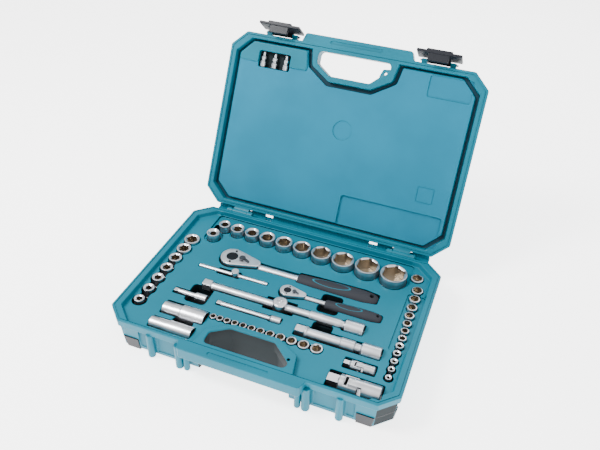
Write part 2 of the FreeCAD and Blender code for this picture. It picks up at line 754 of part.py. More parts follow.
def lid_hinges():
    straps = []
    for x in (-HINGE_X, HINGE_X):
        low, high = x - HINGE_HALF, x + HINGE_HALF
        straps.append(rod(4.8, (low, HINGE_Y, HINGE_Z), (high, HINGE_Y, HINGE_Z)))
        side = [
            (HALF_D - 1, 57.0),
            (HALF_D - 1, 66.0),
            (HINGE_Y + 2.5, 57.0),
            (HINGE_Y + 4.8, HINGE_Z),
            (HINGE_Y, HINGE_Z),
        ]
        corners = [V(low, y, z) for y, z in side]
        face = Part.Face(Part.makePolygon(corners + corners[:1]))
        straps.append(face.extrude(V(high - low, 0, 0)))
    return straps


def latch_blocks():
    """The lid's ears at each side of a latch's knuckle."""
    ears = []
    for middle in (-LATCH_X, LATCH_X):
        for side in (-1, 1):
            low, high = sorted((middle + side * 18, middle + side * 27))
            ears.append(block(low, high, LATCH_Y - 2.5, -140, LATCH_Z - 6, LATCH_Z + 2.6))
    return ears


def latch_bores(radius):
    return [
        rod(radius, (x - 30, LATCH_Y, LATCH_Z), (x + 30, LATCH_Y, LATCH_Z))
        for x in (-LATCH_X, LATCH_X)
    ]


def latch(side):
    """A latch plate with its knuckle and hook, drawn hooked and then swung out."""
    x = side * LATCH_X
    plate = block(x - LATCH_HALF, x + LATCH_HALF, -160.5, -156.0, 38, 70.5)
    grip = block(x - 20, x + 20, -163.0, -160.5, 38, 46)
    knuckle = rod(3.2, (x - 17.5, LATCH_Y, LATCH_Z), (x + 17.5, LATCH_Y, LATCH_Z))
    arm = block(x - 17.5, x + 17.5, -156.5, LATCH_Y, LATCH_Z - 3.2, LATCH_Z + 3.2)
    hook = block(x - 16, x + 16, -156.5, -144.5, 39.5, 44.5)
    whole = joined([plate, grip, knuckle, arm, hook])
    whole = whole.cut(latch_bores(1.55))
    whole.rotate(V(0, LATCH_Y, LATCH_Z), V(1, 0, 0), -LATCH_TILT)
    return whole


def opened(shape):
    """Turn a shape of the closed lid to the open lid."""
    turned_shape = shape.copy()
    turned_shape.rotate(V(0, HINGE_Y, HINGE_Z), V(1, 0, 0), -LID_OPEN)
    return turned_shape


# ---------------------------------------------------------------- assembly
def build():
    nodes, pockets = {}, []
    tools = [
        back_sockets(),
        star_sockets(),
        quarter_sockets(),
        front_sockets(),
        ratchet("half_ratchet", -103.0, 43.5, 42.0, 1.0, HALF_DRIVE, 112.0, 241.0, 13.5),
        ratchet("quarter_ratchet", 6.5, 6.0, 46.0, 0.62, QUARTER_DRIVE, 60.0, 147.0, 9.5),
        tee_bar(),
        long_bars(),
        universal_joint("half_universal", 115.0, 188.4, -122.6, 45.0, 12.2, HALF_DRIVE),
        universal_joint("quarter_universal", 127.0, 170.5, -89.0, 46.0, 6.6, QUARTER_DRIVE),
    ]
    for made, wells in tools:
        nodes.update(made)
        pockets += wells
    nodes["spark_socket_21"] = spark_socket(
        -148.5, -81.0, -90.0, 43.0, 11.0, 13.0, 21.0, HALF_DRIVE
    )
    nodes["spark_socket_16"] = spark_socket(
        -151.3, -85.0, -122.4, 44.5, 9.4, 10.4, 16.0, THREE_EIGHTHS_DRIVE
    )
    pockets.append(trough(-148.5, -81.0, -90.0, 13.0, 43.0))
    pockets.append(trough(-151.3, -85.0, -122.4, 10.4, 44.5))
    pockets += [Pocket(FINGER_FLOOR, box=box) for box in FINGER_WELLS]

    nodes["base_shell"], nodes["tool_tray"] = base_and_tray(pockets)
    nodes["lid_shell"] = opened(lid_shell())
    nodes["hinge_pins"] = Part.makeCompound(hinge_bores(PIN_R))
    nodes["latch_pins"] = opened(Part.makeCompound(latch_bores(1.5)))
    nodes["lid_adapters"] = opened(adapters())
    for side, word in ((-1, "left"), (1, "right")):
        nodes[f"latch_{word}"] = opened(latch(side))
    nodes["corner_feet"] = Part.makeCompound([corner_foot(-1), corner_foot(1)])
    return nodes


def main():
    os.makedirs("parts", exist_ok=True)
    for name, shape in build().items():
        if not shape.isValid():
            print("not valid:", name)
        shape.exportStep(f"parts/{name}.step")


main()
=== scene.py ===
import math

import bpy
from mathutils import Matrix, Vector


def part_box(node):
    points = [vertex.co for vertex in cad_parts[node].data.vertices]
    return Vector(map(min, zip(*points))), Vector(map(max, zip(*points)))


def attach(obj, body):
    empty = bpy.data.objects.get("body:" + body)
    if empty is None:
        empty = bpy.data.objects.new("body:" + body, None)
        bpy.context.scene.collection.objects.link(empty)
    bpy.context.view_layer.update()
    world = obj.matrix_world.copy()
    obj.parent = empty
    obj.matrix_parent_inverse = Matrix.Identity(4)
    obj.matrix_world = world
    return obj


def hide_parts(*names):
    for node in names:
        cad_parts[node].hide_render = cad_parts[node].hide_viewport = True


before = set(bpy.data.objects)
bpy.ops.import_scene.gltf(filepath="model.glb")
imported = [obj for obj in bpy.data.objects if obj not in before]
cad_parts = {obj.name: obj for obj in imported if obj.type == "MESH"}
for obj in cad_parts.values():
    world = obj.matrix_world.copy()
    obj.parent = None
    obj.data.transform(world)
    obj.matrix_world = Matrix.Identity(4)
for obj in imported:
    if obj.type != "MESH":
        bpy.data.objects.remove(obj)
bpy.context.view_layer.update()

MM = 0.001


def corners(node):
    """The lowest and highest corner of a CAD node, in millimetres."""
    low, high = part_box(node)
    return low / MM, high / MM


def middle(node):
    """The middle of a CAD node's box, in millimetres."""
    low, high = corners(node)
    return (low + high) / 2


# ------------------------------------------------------------------ driving sizes
_, BASE_TOP = corners("base_shell")
HALF_W, RIM_Z = BASE_TOP.x, BASE_TOP.z  # half the width of the case, height of its rim
HALF_D = 147.2  # half the depth of the rim
CORNER_X, CORNER_Y = 25.0, 24.0  # bevels of the case's corners
CORNER_R = 5.0  # rounding of the bevels' ends
DRAFT = 7.0  # lean of the walls from rim to floor
TRAY_Z = 48.0  # top of the tool tray
SHELF_Z = 45.0  # shelf under the sockets at the back
TRAY_INSET = (13.0, 5.7, 8.0)  # rim to tray: side, front, back
LID_THICK = 32.0  # depth of the lid
LID_OPEN = math.radians(118.3)  # turn of the open lid from shut
HINGE = Vector((0.0, 154.6, 50.8))  # middle of the hinge line
HINGE_X = 142.5  # middle of each hinge
SLOT_X = 93.0  # middle of each strap slot in the hinge ledge
HANDLE_X, HANDLE_Y, HANDLE_DEEP = 88.0, -161.0, 20.0  # half width, front, depth
GRIP = [(-61, -137), (60, -137), (60, -126), (31, -100), (-37, -100), (-61, -117)]
GRIP_WALL = [(-75, -150), (75, -150), (67, -110), (34, -91), (-36, -91), (-68, -112)]
FINGER_ROOM = [(-72, -170), (72, -170), (64, -111), (34, -95), (-36, -95), (-65, -113)]
LATCH_X, LATCH_Y, LATCH_Z = 131.0, -152.0, 68.0  # a latch's pivot with the lid shut
LATCH_TILT = math.radians(12)  # swing of the latches with the lid open
FIT = 0.9  # gap round a tool in its well
HALF_DRIVE, QUARTER_DRIVE = 12.7, 6.35  # across the drive squares


# ------------------------------------------------------------------ outlines
def rounded(points, radius, inset, steps):
    """A closed outline, anticlockwise, moved inwards, with its corners rounded."""
    spots = [Vector(p) for p in points]
    outline = []
    for before, here, after in zip(spots[-1:] + spots[:-1], spots, spots[1:] + spots[:1]):
        a, b = (here - before).normalized(), (after - here).normalized()
        left_a, left_b = Vector((-a.y, a.x)), Vector((-b.y, b.x))
        corner = here + (left_a + left_b) * inset / (1 + left_a.dot(left_b))
        turn = math.atan2(a.x * b.y - a.y * b.x, a.dot(b))
        side = math.copysign(1.0, turn)
        bend = max(radius - side * inset, 0.4)
        centre = corner - a * bend * math.tan(abs(turn) / 2) + left_a * bend * side
        arm = left_a * (-bend * side)
        for k in range(steps + 1):
            angle = turn * k / steps
            c, s = math.cos(angle), math.sin(angle)
            outline.append((centre.x + arm.x * c - arm.y * s, centre.y + arm.x * s + arm.y * c))
    return outline


def poly(points, radius=2.0, steps=5):
    """An outline that can be drawn at any inset, with rounded corners."""
    return lambda inset=0.0: rounded(points, radius, inset, steps)


def rect(x0, x1, y0, y1, radius=2.0):
    return poly([(x0, y0), (x1, y0), (x1, y1), (x0, y1)], radius)


def disc(x, y, radius, steps=48):
    turns = [2 * math.pi * i / steps for i in range(steps)]
    return lambda inset=0.0: [
        (x + (radius - inset) * math.cos(t), y + (radius - inset) * math.sin(t)) for t in turns
    ]


def pear(x, y, big, small, length, steps=24):
    """A round end that tapers to a smaller round end along +X."""
    lean = math.asin((big - small) / length)

    def outline(inset=0.0):
        points = []
        for centre, radius, first, last in (
            (x + length, small - inset, lean - math.pi / 2, math.pi / 2 - lean),
            (x, big - inset, math.pi / 2 - lean, 1.5 * math.pi + lean),
        ):
            for k in range(steps + 1):
                t = first + (last - first) * k / steps
                points.append((centre + radius * math.cos(t), y + radius * math.sin(t)))
        return points

    return outline


# ------------------------------------------------------------------ profiles: (height, inset)
def quarter(start, end, upright, steps=4):
    """A quarter round between two stations that starts upright, or else flat."""
    (z0, i0), (z1, i1) = start, end
    stations = []
    for k in range(steps + 1):
        t = math.pi / 2 * k / steps
        rise, run = (math.sin(t), 1 - math.cos(t)) if upright else (1 - math.cos(t), math.sin(t))
        stations.append((z0 + (z1 - z0) * rise, i0 + (i1 - i0) * run))
    return stations


def slab(z0, z1, foot=1.0, lip=1.0, low=0.0, high=0.0):
    """A solid's side: a rounded foot, a wall and a rounded top edge."""
    bottom = quarter((z0, low + foot), (z0 + foot, low), upright=False)
    top = quarter((z1 - lip, high), (z1, high + lip), upright=True)
    return bottom + top


def well(floor, top, foot=1.5, lip=1.2, lean=0.0):
    """A cutter's side: a rounded floor, a wall and a mouth that flares out."""
    bottom = quarter((floor, foot + lean), (floor + foot, lean), upright=False)
    mouth = quarter((top - lip, 0.0), (top, -lip), upright=True)
    return bottom + mouth + [(top + 25.0, -lip)]


# ------------------------------------------------------------------ meshes
def skin(rings, closed=False):
    """Vertices and faces of a tube through rings of equal length, capped unless closed."""
    count = len(rings[0])
    verts = [p for ring in rings for p in ring]
    pairs = list(zip(range(len(rings)), range(1, len(rings))))
    if closed:
        pairs.append((len(rings) - 1, 0))
    faces = []
    for low, high in pairs:
        for k in range(count):
            n = (k + 1) % count
            faces.append((low * count + k, low * count + n, high * count + n, high * count + k))
    if not closed:
        faces.append(tuple(reversed(range(count))))
        faces.append(tuple((len(rings) - 1) * count + k for k in range(count)))
    return verts, faces


def stack(outline, profile, closed=False):
    """A body with an outline that follows a profile of (height, inset)."""
    rings = [[(x, y, z) for x, y in outline(inset)] for z, inset in profile]
    return skin(rings, closed)


def placed(shell, matrix):
    verts, faces = shell
    return [tuple(matrix @ Vector(v)) for v in verts], faces


POINTS = 48  # points round a turned piece


def section(kind, radius):
    """One ring of a turned piece: round, or square, hex or star by the distance to its flats."""
    ring = []
    for i in range(POINTS):
        a = 2 * math.pi * i / POINTS
        r = radius
        if kind == "square":
            r = min(radius / math.cos((a + math.pi / 4) % (math.pi / 2) - math.pi / 4), 1.32 * radius)
        elif kind == "hex":
            r = radius / math.cos((a + math.pi / 6) % (math.pi / 3) - math.pi / 6)
        elif kind == "star":
            r = radius * (1.0 + 0.11 * math.cos(6 * a))
        ring.append((r * math.cos(a), r * math.sin(a)))
    return ring


def aim(centre, direction):
    """Turn +Z to a direction and move it to a centre."""
    turn = Vector(direction).to_track_quat("Z", "Y").to_matrix().to_4x4()
    return Matrix.Translation(centre) @ turn


def lathe(stations, centre=(0, 0, 0), direction=(0, 0, 1)):
    """A turned piece: stations are (distance, radius) or (distance, radius, kind)."""
    rings = []
    for station in stations:
        distance, radius = station[:2]
        kind = station[2] if len(station) > 2 else "round"
        rings.append([(x, y, distance) for x, y in section(kind, radius)])
    return placed(skin(rings), aim(centre, direction))


def make(name, shells, material=None):
    """One object from shells; its place is in its mesh, in metres."""
    verts, faces = [], []
    for more_verts, more_faces in shells:
        first = len(verts)
        verts += more_verts
        faces += [tuple(i + first for i in face) for face in more_faces]
    mesh = bpy.data.meshes.new(name)
    mesh.from_pydata([tuple(c * MM for c in v) for v in verts], [], faces)
    mesh.validate()
    if material:
        mesh.materials.append(material)
    thing = bpy.data.objects.new(name, mesh)
    bpy.context.scene.collection.objects.link(thing)
    return thing


def turned_hole(x, y, low, high, radius):
    """A cutter for a round hole along Z."""
    return lathe([(low, radius), (high, radius)], (x, y, 0))


def apply(thing):
    """Turn a thing's modifiers into plain mesh."""
    done = bpy.data.meshes.new_from_object(thing.evaluated_get(bpy.context.evaluated_depsgraph_get()))
    old = thing.data
    thing.modifiers.clear()
    thing.data = done
    done.name = thing.name
    bpy.data.meshes.remove(old)
    return thing


def combine(thing, shells, operation):
    """Add shells to a thing, or cut them away, all in one step."""
    group = bpy.data.collections.new("cutters")
    bpy.context.scene.collection.children.link(group)
    tools = []
    for i, shell in enumerate(shells):
        tool = make(f"tool_{i}", [shell])
        bpy.context.scene.collection.objects.unlink(tool)
        group.objects.link(tool)
        tools.append(tool)
    step = thing.modifiers.new("step", "BOOLEAN")
    step.operation = operation
    step.operand_type = "COLLECTION"
    step.collection = group
    step.solver = "MANIFOLD"
    apply(thing)
    for tool in tools:
        mesh = tool.data
        bpy.data.objects.remove(tool)
        bpy.data.meshes.remove(mesh)
    bpy.data.collections.remove(group)
    return thing


SHARP_EDGE = math.radians(35.0)
FLAT_FACE_WEIGHT = 60  # how far large faces lead the shading, of 100


def smooth(thing):
    """Round shading across gentle edges, sharp shading across the others."""
    mesh = thing.data
    mesh.shade_smooth()
    mesh.set_sharp_from_angle(angle=SHARP_EDGE)
    even = thing.modifiers.new("even", "WEIGHTED_NORMAL")
    even.keep_sharp = True
    even.weight = FLAT_FACE_WEIGHT
    return apply(thing)


def finish(thing, body, nodes=()):
    """Shade a piece and put it on its body, in place of CAD nodes."""
    smooth(thing)
    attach(thing, body)
    if nodes:
        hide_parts(*nodes)
    return thing


# ------------------------------------------------------------------ shader maths
MIX_A, MIX_B, MIX_COLOUR = 6, 7, 2  # a mix node's colour inputs and colour output


class Field:
    """A value or colour in a shader, so that materials read as sums."""

    def __init__(self, tree, socket):
        self.tree, self.socket = tree, socket

    def node(self, kind, inputs=(), output=0, **settings):
        """A new node fed with fields or plain values."""
        made = self.tree.nodes.new(kind)
        for key, value in settings.items():
            setattr(made, key, value)
        for key, value in dict(inputs).items():
            if isinstance(value, Field):
                self.tree.links.new(value.socket, made.inputs[key])
            else:
                made.inputs[key].default_value = value
        return Field(self.tree, made.outputs[output])

    def math(self, operation, a, b=0.0):
        return self.node("ShaderNodeMath", {0: a, 1: b}, operation=operation)

    def __add__(self, other):
        return self.math("ADD", self, other)

    def __sub__(self, other):
        return self.math("SUBTRACT", self, other)

    def __mul__(self, other):
        return self.math("MULTIPLY", self, other)

    def __truediv__(self, other):
        return self.math("DIVIDE", self, other)

    def __rsub__(self, other):
        return self.math("SUBTRACT", other, self)

    def __rtruediv__(self, other):
        return self.math("DIVIDE", other, self)

    __radd__, __rmul__ = __add__, __mul__

    def axis(self, letter):
        """One coordinate of a place."""
        return self.node("ShaderNodeSeparateXYZ", {0: self}, output="XYZ".index(letter))

    def step(self, low, high):
        """0 below low, 1 above high, and smooth between."""
        inputs = {0: self, 1: low, 2: high}
        return self.node("ShaderNodeMapRange", inputs, interpolation_type="SMOOTHSTEP")

    def noise(self, scale, detail=2.0, stretch=(1, 1, 1)):
        """Grain of the material; self is a place."""
        longer = self.node("ShaderNodeMapping", {"Vector": self, "Scale": stretch})
        return self.node("ShaderNodeTexNoise", {"Vector": longer, "Scale": scale, "Detail": detail})

    def mix(self, a, b):
        """Colour a where self is 0 and colour b where it is 1."""
        inputs = {0: self, MIX_A: a, MIX_B: b}
        return self.node("ShaderNodeMix", inputs, output=MIX_COLOUR, data_type="RGBA")


def rgb(red, green, blue):
    """A paint chart's 0-255 colour as the renderer's linear colour."""
    parts = [c / 255 for c in (red, green, blue)]
    return tuple(c / 12.92 if c < 0.04045 else ((c + 0.055) / 1.055) ** 2.4 for c in parts) + (1.0,)


class Finish:
    """A new material with its shader and the place on the piece."""

    def __init__(self, name, **constants):
        self.material = bpy.data.materials.new(name)
        self.material.use_nodes = True
        self.tree = self.material.node_tree
        self.shader = self.tree.nodes["Principled BSDF"]
        place = self.tree.nodes.new("ShaderNodeTexCoord")
        self.place = Field(self.tree, place.outputs["Object"])
        for key, value in constants.items():
            self.shader.inputs[key.replace("_", " ")].default_value = value

    def set(self, socket, field):
        """Feed one of the shader's sockets."""
        self.tree.links.new(field.socket, self.shader.inputs[socket])
        return self

    def bump(self, height, strength, distance=0.0002):
        """Fine relief from a height field; distance in metres."""
        inputs = {"Height": height, "Strength": strength, "Distance": distance}
        return self.set("Normal", height.node("ShaderNodeBump", inputs))


def darker(colour, share):
    """A share of a colour's light."""
    return tuple(c * share for c in colour[:3]) + (1.0,)


FLOW_SCALE = 9.0  # flow marks in moulded plastic, per metre
CLOUD_SCALE = 60.0  # uneven polish of plated steel, per metre


def plastic(name, colour, low=0.34, high=0.46, grain=2600.0, strength=0.12):
    """Moulded plastic: a fine grain, faint flow marks and a soft sheen."""
    made = Finish(name, Specular_IOR_Level=0.2)
    flow = made.place.noise(FLOW_SCALE, 3.0)
    grainy = made.place.noise(grain, 1.0)
    made.set("Base Color", flow.step(0.35, 0.7).mix(darker(colour, 0.86), colour))
    made.set("Roughness", low + (high - low) * flow)
    made.bump(grainy + flow * 0.4, strength)
    return made


def steel(name, colour, rough=0.24, brushed=(1, 1, 1), scale=900.0, strength=0.05):
    """Plated or bare steel, with fine brush marks."""
    made = Finish(name, Metallic=1.0)
    marks = made.place.noise(scale, 3.0, brushed)
    cloud = made.place.noise(CLOUD_SCALE, 2.0)
    made.set("Base Color", cloud.step(0.3, 0.75).mix(colour, darker(colour, 0.8)))
    made.set("Roughness", rough + 0.16 * marks)
    made.bump(marks, strength)
    return made


ALONG_X = (0.06, 1, 1)  # brush marks drawn out along a rod
TEAL = plastic("teal_plastic", rgb(0, 104, 124)).material
# The same teal plastic painted lighter: a painted sheen on the lid's panel.
TEAL_PAINTED_SHEEN = plastic("teal_painted_panel_sheen", rgb(0, 110, 138), low=0.42, high=0.56, strength=0.1).material
# The same teal plastic painted darker: painted shade in the wells, nearly black in the deep wells.
TEAL_PAINTED_SHADE = plastic("teal_painted_well_shade", rgb(0, 48, 62), low=0.5, high=0.6).material
TEAL_PAINTED_DEEP_SHADE = plastic("teal_painted_deep_well_shade", rgb(2, 18, 23), low=0.6, high=0.7).material
DARK = plastic("dark_plastic", rgb(26, 28, 34), grain=1800.0, strength=0.2).material
CHROME = steel("satin_chrome", rgb(214, 216, 220)).material
ROD_CHROME = steel("satin_chrome_rod", rgb(220, 222, 226), rough=0.26, brushed=ALONG_X).material
BORE = steel("bare_bore", rgb(172, 162, 148), rough=0.26, scale=500.0, strength=0.1).material
BLACK_STEEL = steel("dark_steel", rgb(46, 48, 52), rough=0.34).material
LEVER_STEEL = steel("lever_steel", rgb(84, 87, 92), rough=0.3).material
PIN = steel("pin_steel", rgb(205, 207, 210), rough=0.16).material
RUBBER_GREY, BADGE_TEAL = rgb(44, 46, 52), rgb(0, 105, 125)


def paint(thing, material, test):
    """Give the faces whose middle (in millimetres) and normal pass a test their own material."""
    index = len(thing.data.materials)
    thing.data.materials.append(material)
    for face in thing.data.polygons:
        if test(face.center / MM, face.normal):
            face.material_index = index
    return thing


# ------------------------------------------------------------------ outlines of the case
def case_outline(side=0.0, front=0.0, back=0.0, radius=CORNER_R):
    """The case's bevelled outline from above, moved in at its sides, front and back."""
    x, low, high = HALF_W - side, -HALF_D + front, HALF_D - back
    return poly(
        [
            (CORNER_X - x, low),
            (x - CORNER_X, low),
            (x, low + CORNER_Y),
            (x, high - CORNER_Y),
            (x - CORNER_X, high),
            (CORNER_X - x, high),
            (-x, high - CORNER_Y),
            (-x, low + CORNER_Y),
        ],
        radius,
    )


HANDLE = poly([(-96, -140), (-HANDLE_X, HANDLE_Y), (HANDLE_X, HANDLE_Y), (96, -140)], 4)


def round_grip(grow, radius=8.0):
    """The wall round the finger opening, widened."""
    points = []
    for x, y in GRIP_WALL:
        side, up = math.copysign(1.0, x), 1.0 if y > -100 else 0.4
        points.append((x + side * grow * (0.4 if y > -100 else 1.0), y + up * grow * (y > -140)))
    return poly(points, radius)


def half_case(height, lip=1.2):
    """The side of one half of the case: a foot, a leaning wall, a step under the rim band."""
    band = height - 13.0
    return (
        quarter((0.0, DRAFT + 4.0), (4.0, DRAFT), upright=False)
        + [(band - 2.0, 3.4)]
        + quarter((band, 2.6), (band + 2.2, 0.4), upright=False)
        + quarter((height - lip, 0.0), (height, lip), upright=True)
    )


def rim_groove(side, depth=1.1, wide=1.1):
    """A cutter that leaves a thin line round the rim, below height 0."""
    return [(-depth, side), (5.0, side), (5.0, side + wide), (-depth, side + wide)]


def lift(shell, z):
    """A shell moved up."""
    return placed(shell, Matrix.Translation((0, 0, z)))


def bar_x(points, x0, x1):
    """A straight bar along X; points are (y, z), anticlockwise seen from +X."""
    return skin([[(x, y, z) for y, z in points] for x in (x0, x1)])


def cylinder_x(y, z, radius, x0, x1, steps=32):
    """A round bar along X."""
    turns = [2 * math.pi * i / steps for i in range(steps)]
    return bar_x([(y + radius * math.cos(t), z + radius * math.sin(t)) for t in turns], x0, x1)


# ------------------------------------------------------------------ where the tools lie
SOCKET_NODES = [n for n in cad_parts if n.startswith(("hex_socket", "star_socket"))]


def row_solids(node):
    """Middle, radius, foot and top of each socket in a row that is one node."""
    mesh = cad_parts[node].data
    root = list(range(len(mesh.vertices)))

    def find(i):
        while root[i] != i:
            root[i] = root[root[i]]
            i = root[i]
        return i

    seen = {}
    for v in mesh.vertices:
        key = tuple(round(c, 6) for c in v.co)
        root[v.index] = seen.setdefault(key, v.index)
    for edge in mesh.edges:
        root[find(edge.vertices[0])] = find(edge.vertices[1])
    groups = {}
    for v in mesh.vertices:
        groups.setdefault(find(v.index), []).append(v.co / MM)
    found = []
    for spots in groups.values():
        low = [min(p[i] for p in spots) for i in range(3)]
        high = [max(p[i] for p in spots) for i in range(3)]
        x, y = (low[0] + high[0]) / 2, (low[1] + high[1]) / 2
        found.append((x, y, (high[0] - low[0]) / 2, low[2], high[2]))
    return sorted(found)


# ------------------------------------------------------------------ the base
def round_well(x, y, radius, floor, top):
    """A cutter for the well of a standing socket."""
    return stack(disc(x, y, radius + FIT), well(floor - FIT, top, 1.0, 0.9))


def long_well(x0, x1, y, half, floor):
    """A cutter for the well of a tool that lies along X."""
    outline = rect(x0 - FIT, x1 + FIT, y - half - FIT, y + half + FIT, 2.2)
    return stack(outline, well(floor - FIT, TRAY_Z, 1.2, 0.9))


SCALLOP = 4.4  # how far the shelf reaches round a socket on it
ROW_TROUGHS = [  # x0, x1, y0, y1 and floor of the troughs under the other rows
    (-193.5, -179, -95, 60, 36),
    (184.5, 194, -92, 86, 36),
    (-75, 78, -87, -78, 38),
]
BAR_WELLS = [  # tool, first and last x, extra half width
    ("extension_250", -118.5, 110.0, -3.0),
    ("extension_250", 105.0, 135.5, 0.0),
    ("extension_125", 44.5, 170.3, 0.0),
    ("quarter_extension_100", -81.6, 4.0, -1.5),
    ("quarter_extension_100", 2.0, 20.3, 0.0),
    ("quarter_extension_50", -152.0, -98.5, 0.0),
    ("spark_socket_21", -148.5, -81.0, 0.0),
    ("spark_socket_16", -151.3, -85.0, 0.0),
    ("tee_bar", -144.0, -28.0, 0.0),
]
TEE_HEAD_WELL = (-112, -74, 3.3, 17.7)
FINGER_WELLS = [  # x0, x1, y0, y1 of the hollows that let fingers under a tool
    (-124, -92, -118, -102),
    (-130, -96, -68, -30),
    (64, 94, -51, -33),
    (58, 90, -13, 26),
]
FINGER_FLOOR = 28.0


def tool_wells():
    """Cutters for every well of the tray."""
    cuts = []
    for name in SOCKET_NODES:
        low, high = corners(name)
        x, y = (low.x + high.x) / 2, (low.y + high.y) / 2
        on_shelf = name.startswith("hex")
        radius = (high.x - low.x) / 2
        if on_shelf:
            cuts.append(stack(disc(x, y, radius + SCALLOP), well(SHELF_Z, TRAY_Z, 0.8, 0.9)))
        cuts.append(round_well(x, y, radius, low.z, SHELF_Z if on_shelf else TRAY_Z))
    for row in ("small_sockets_side_row", "small_sockets_front_row"):
        for x, y, radius, foot, _ in row_solids(row):
            cuts.append(round_well(x, y, radius, foot, TRAY_Z))
    for *edges, floor in ROW_TROUGHS:
        cuts.append(stack(rect(*edges, 3), well(floor, TRAY_Z, 1.5, 0.8)))
    for node, first, last, extra in BAR_WELLS:
        low, high = corners(node)
        half = (high.y - low.y) / 2 + extra
        cuts.append(long_well(first, last, (low.y + high.y) / 2, half, low.z + max(-extra, 0.0)))
    for name in ("half_ratchet", "quarter_ratchet"):
        head, grip = corners(f"{name}_head"), corners(f"{name}_grip")
        centre = middle(f"{name}_release_button")
        radius = centre.x - head[0].x
        size = radius / 19.0
        outline = pear(centre.x, centre.y, radius + 2.2, 10 * size, 40 * size)
        cuts.append(stack(outline, well(head[0].z - FIT, TRAY_Z, 1.5, 1.4)))
        shank = grip[0].x
        start, floor = centre.x + 36 * size, centre.z - 8 * size
        cuts.append(long_well(start, shank + 4, centre.y, 7.4 * size, floor))
        half = (grip[1].y - grip[0].y) / 2
        ends = [(shank, 0.80), (shank + 30 * size, 0.92)]
        ends += [(grip[1].x - 22 * size, 1.0), (grip[1].x, 0.72)]
        lower = [(x, centre.y - share * half - FIT) for x, share in ends]
        upper = [(x, centre.y + share * half + FIT) for x, share in reversed(ends)]
        cuts.append(stack(poly(lower + upper, 3.0), well(grip[0].z - FIT, TRAY_Z, 3.0, 1.2)))
    for name in ("half_universal", "quarter_universal"):
        low, high = corners(f"{name}_drive_fork")[0], corners(f"{name}_socket_fork")[1]
        half = (high.y - corners(f"{name}_socket_fork")[0].y) / 2
        y, floor = middle(f"{name}_cross").y, corners(f"{name}_cross")[0].z
        cuts.append(long_well(low.x, high.x + 1, y, half + 2.4, floor - 4))
    head = middle("sliding_head")
    cuts.append(stack(rect(head.x - 24, head.x + 24, head.y - 13, head.y + 13), well(19, TRAY_Z, 2, 1)))
    cuts.append(stack(rect(*TEE_HEAD_WELL), well(30, TRAY_Z, 2, 1)))
    for edges in FINGER_WELLS:
        cuts.append(stack(rect(*edges, 6), well(FINGER_FLOOR, TRAY_Z, 3, 1.4)))
    return cuts


def in_tray(place):
    """True inside the tray's outline, away from the wall round the finger opening."""
    x, y = abs(place.x), place.y
    if x > HALF_W - 12.5 or not -139.3 < y < 139.3:
        return False
    (near_y, near_x), (far_y, far_x) = (-91.5, 34.0), (-110.0, 75.0)  # ends of the wall's slope
    if y < near_y:
        edge = near_x + (near_y - y) / (near_y - far_y) * (far_x - near_x)
        return x > min(edge, far_x)
    return True


base = make("base_body", [stack(case_outline(), half_case(RIM_Z))], TEAL)
hinge_ears = []
for x in (-HINGE_X, HINGE_X):
    for side in (-1, 1):
        low, high = sorted((x + side * 14.0, x + side * 23.0))
        hinge_ears.append(cylinder_x(HINGE.y, HINGE.z, 5.0, low, high))
        post = [(HALF_D - 4, 42.0), (HINGE.y + 4.6, 42.0), (HINGE.y + 4.6, HINGE.z), (HALF_D - 4, HINGE.z)]
        hinge_ears.append(bar_x(post, low + 0.05, high - 0.05))
combine(
    base,
    [
        stack(HANDLE, slab(RIM_Z - HANDLE_DEEP, RIM_Z, 4.0, 1.2)),
        stack(rect(-188, 188, HALF_D - 8, 171, 3), slab(38, 44, 1, 1)),
        stack(rect(-188, 188, 167.8, 171, 1.5), slab(39, 48.2, 0.5, 0.8)),
        stack(rect(-187, -159, 168.0, 170.8, 1.2), slab(40, 49.8, 0.5, 0.8)),
        stack(rect(-126, 126, 168.0, 170.8, 1.2), slab(40, 49.8, 0.5, 0.8)),
        stack(rect(159, 187, 168.0, 170.8, 1.2), slab(40, 49.8, 0.5, 0.8)),
    ]
    + hinge_ears,
    "UNION",
)
columns = []
for side in (-1, 1):
    for x, radius, stand in ((141.0, 5.5, -144.2), (94.5, 6.0, -146.5), (83.0, 4.5, -147.0)):
        columns.append(stack(disc(side * x, stand, radius, 32), slab(0.6, 45.0, 2.0, 1.0)))
combine(base, columns, "UNION")
tray = [stack(case_outline(*TRAY_INSET, 4.0), well(TRAY_Z, RIM_Z, 2.4, 1.6, lean=1.2))]
combine(base, tray, "DIFFERENCE")
combine(base, [stack(round_grip(0.0), slab(TRAY_Z - 4, RIM_Z, 0.5, 1.6, low=-1.0))], "UNION")
slots = [stack(rect(x - 7, x + 7, 160, 167, 1.5), [(30, 0), (50, 0)]) for x in (-SLOT_X, SLOT_X)]
slots += [stack(rect(x - 7, x + 7, 164, 174, 1.0), [(43.8, 0), (60, 0)]) for x in (-SLOT_X, SLOT_X)]
recesses = []
for side in (-1, 1):
    for near, far in ((101.5, 134.5), (147.5, 161.0)):
        x0, x1 = sorted((side * near, side * far))
        recesses.append(stack(rect(x0, x1, -160, -139.5, 3), slab(8, 42.5, 2, 2)))
stadium = rect(-46, 43, -155.2, -150.2, 2.4)
